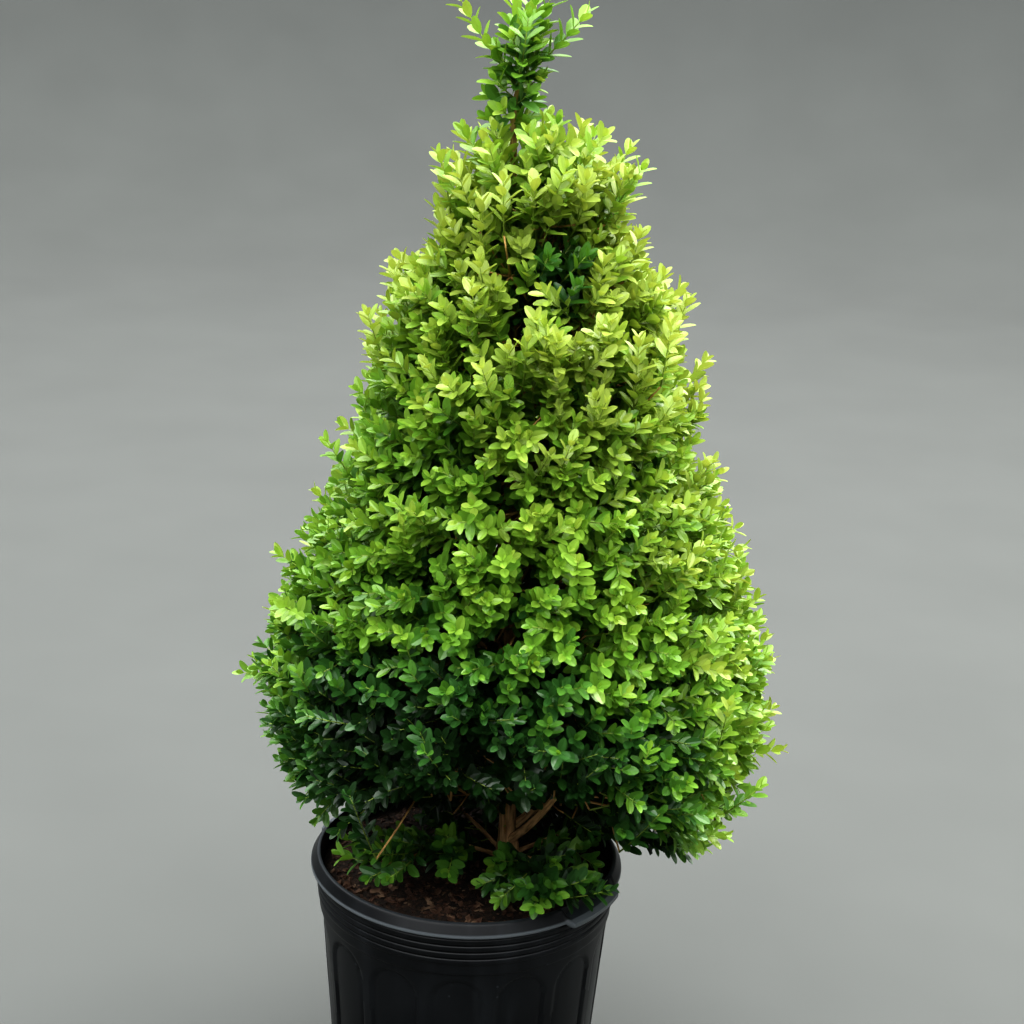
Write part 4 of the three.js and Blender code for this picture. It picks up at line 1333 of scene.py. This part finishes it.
class TOPIARY_OT_low_sprays(bpy.types.Operator):
    """Grow the open sprays on the low boughs"""
    bl_idname = "topiary.low_sprays"
    bl_label = "Low Sprays"

    def execute(self, context):
        plant, pot = context.scene.topiary_plant, context.scene.topiary_pot
        draw = np.random.default_rng(plant.seed + 1)
        materials = foliage_materials(plant)
        for index, path in enumerate(low_bough_paths()):
            shoots, stem = low_shoots(draw, index, path)
            shoots = part_of(shoots, clear_of_pot(shoots, pot))
            tip = np.array(path[2])[None]
            wood = [(bowed(tip, stem[-1:], 0.05, 6), tapered(1, LOW_STEM_RADII, 6), 5, 0)]
            node = f"low_spray_{index + 1}"
            grow_mass(node, [node], shoots, wood, plant, materials, draw)
        return {"FINISHED"}


# The leader's long shoots: share of the way up its stem, azimuth, elevation and length. The short ones fill
# it from below its foot upwards, steeper and longer towards its top.
LEADER_SHOOTS = (
    (0.90, 0, 84, 0.064),
    (0.35, 178, 52, 0.110),
    (0.45, -8, 44, 0.096),
    (0.75, 25, 66, 0.074),
    (0.40, -85, 58, 0.082),
    (0.50, 100, 58, 0.082),
)
LEADER_FILL = 22
FILL_SHARE = (-0.40, 0.9)
FILL_ELEVATION = (14, 66)
FILL_LENGTH = (0.022, 0.040)


class TOPIARY_OT_leader(bpy.types.Operator):
    """Grow the unclipped leader out of the top of the cone"""
    bl_idname = "topiary.leader"
    bl_label = "Leader"

    def execute(self, context):
        plant = context.scene.topiary_plant
        draw = np.random.default_rng(plant.seed + 2)
        foot = np.array(trunk_point(TRUNK_TIP_Z))
        top = foot + np.array((0.010, 0.0, 0.060))
        fill = np.stack((
            np.linspace(*FILL_SHARE, LEADER_FILL), np.degrees(np.arange(LEADER_FILL) * GOLDEN_ANGLE + 1),
            np.linspace(*FILL_ELEVATION, LEADER_FILL), np.linspace(*FILL_LENGTH, LEADER_FILL),
        ), axis=1)
        share, azimuth, elevation, length = np.concatenate((LEADER_SHOOTS, fill)).T
        count = len(share)
        roots = foot + (top - foot) * share[:, None]
        azimuth = np.radians(azimuth) + draw.normal(0, 0.06, count)
        along = directions(azimuth, np.radians(elevation) + draw.normal(0, 0.05, count))
        length = np.minimum(length, (TUFT_HIGH[2] - 0.010 - roots[:, 2]) / along[:, 2])
        shoots = {
            "root": roots, "along": along, "length": length,
            "newness_and_painted_light": draw.normal(0.50, 0.08, count), "bend": 0.16, "bare": 0.006,
        }
        wood = [(bowed(foot[None], top[None], 0.02, 5), tapered(1, LEADER_RADII, 5), 6, 0)]
        leaf_colours, (_, green) = foliage_materials(plant)
        tan = material_of("boxwood_stem_tan", twig_skin, plant.young_bark, 0.75)
        materials = leaf_colours, (tan, green)
        grow_mass("leader_tuft", ["leader_tuft"], shoots, wood, plant, materials, draw)
        return {"FINISHED"}


# The studio floor is round, and its edge sweeps up all the way round.
FLOOR_RADIUS = 4.6
SWEEP = 2.2
WALL_TOP = 3.6
FLOOR_STEPS = 96
LIT_POINT = Vector((CROWN_X, 0, 0.75))


def floor_profile():
    """The middle of the floor, its flat part, the sweep and the wall above it."""
    sweep = [
        (FLOOR_RADIUS + SWEEP * math.sin(turn), SWEEP * (1 - math.cos(turn)))
        for turn in np.linspace(0, math.pi / 2, 24)
    ]
    return [(0.0, 0.0), *sweep, (FLOOR_RADIUS + SWEEP, WALL_TOP)]


def area_light(name, place, size, power, colour):
    """A round soft light, aimed at the crown."""
    light = bpy.data.lights.new(name, "AREA")
    light.shape = "DISK"
    light.size = size
    light.energy = power
    light.color = colour
    lamp = new_object(name, light)
    lamp.location = place
    lamp.rotation_euler = (LIT_POINT - lamp.location).to_track_quat("-Z", "Y").to_euler()


def place_camera():
    """A camera at the photograph's viewing angle, from its pitch and roll."""
    lens = bpy.data.cameras.new("view")
    lens.sensor_width = SENSOR_WIDTH
    lens.lens = FOCAL_PIXELS / IMAGE_SIZE * SENSOR_WIDTH
    camera = new_object("view", lens)
    pitch = Matrix.Rotation(math.pi / 2 - CAMERA_PITCH, 4, "X")
    roll = Matrix.Rotation(-CAMERA_ROLL, 4, "Z")
    camera.matrix_world = Matrix.Translation(CAMERA_PLACE) @ pitch @ roll
    bpy.context.scene.camera = camera


class TOPIARY_OT_stage(bpy.types.Operator):
    """Lay the floor, and place the lights and the camera"""
    bl_idname = "topiary.stage"
    bl_label = "Stage"

    def execute(self, context):
        stage = context.scene.topiary_stage
        floor = turned_piece("studio_floor", floor_profile(), FLOOR_STEPS)
        bpy.ops.object.shade_smooth()
        floor.data.materials.append(material_of("studio_floor_matt", floor_paint, stage.floor))
        area_light("key", (3.2, 1.0, 4.6), 2.7, stage.key_power, (1.0, 0.98, 0.94))
        area_light("fill", (-1.8, -2.6, 2.0), 2.2, stage.fill_power, (0.95, 0.98, 1.0))
        view = context.scene.view_settings
        view.view_transform = "Standard"
        view.look = "High Contrast"
        view.exposure = stage.exposure
        world = bpy.data.worlds.new("studio")
        world.use_nodes = True
        world.node_tree.nodes.clear()
        add = partial(add_node, world.node_tree)
        ahead = add("ShaderNodeTexCoord").outputs["Generated"]
        upward = add("ShaderNodeSeparateXYZ", {"Vector": ahead}).outputs["Z"]
        colour = add("ShaderNodeValToRGB", {"Fac": upward}, ((0.3, "#73787D"), (0.95, "#FFFFFF")))
        background = add("ShaderNodeBackground", {"Color": colour, "Strength": stage.sky})
        add("ShaderNodeOutputWorld", {"Surface": background})
        context.scene.world = world
        place_camera()
        return {"FINISHED"}


class TOPIARY_PT_panel(bpy.types.Panel):
    """Lists the pieces of the potted boxwood in the sidebar"""
    bl_idname = "TOPIARY_PT_panel"
    bl_label = "Boxwood Cone"
    bl_space_type = "VIEW_3D"
    bl_region_type = "UI"
    bl_category = "Topiary"

    def draw(self, context):
        for operator in OPERATORS:
            self.layout.operator(operator.bl_idname)
        for group in (getattr(context.scene, name) for name in GROUPS):
            for setting in group.__annotations__:
                self.layout.prop(group, setting)


OPERATORS = (
    TOPIARY_OT_pot, TOPIARY_OT_soil, TOPIARY_OT_limbs, TOPIARY_OT_crown,
    TOPIARY_OT_low_sprays, TOPIARY_OT_leader, TOPIARY_OT_stage,
)
GROUPS = {"topiary_pot": PotSizes, "topiary_plant": PlantSizes, "topiary_stage": StageSettings}
CLASSES = (*GROUPS.values(), *OPERATORS, TOPIARY_PT_panel)


def register():
    for each in CLASSES:
        bpy.utils.register_class(each)
    for name, group in GROUPS.items():
        setattr(bpy.types.Scene, name, PointerProperty(type=group))


def unregister():
    for name in GROUPS:
        delattr(bpy.types.Scene, name)
    for each in reversed(CLASSES):
        bpy.utils.unregister_class(each)


def main():
    register()
    bpy.ops.topiary.stage()
    bpy.ops.topiary.pot()
    bpy.ops.topiary.soil()
    bpy.ops.topiary.limbs()
    bpy.ops.topiary.crown()
    bpy.ops.topiary.low_sprays()
    bpy.ops.topiary.leader()


if __name__ == "__main__":
    main()
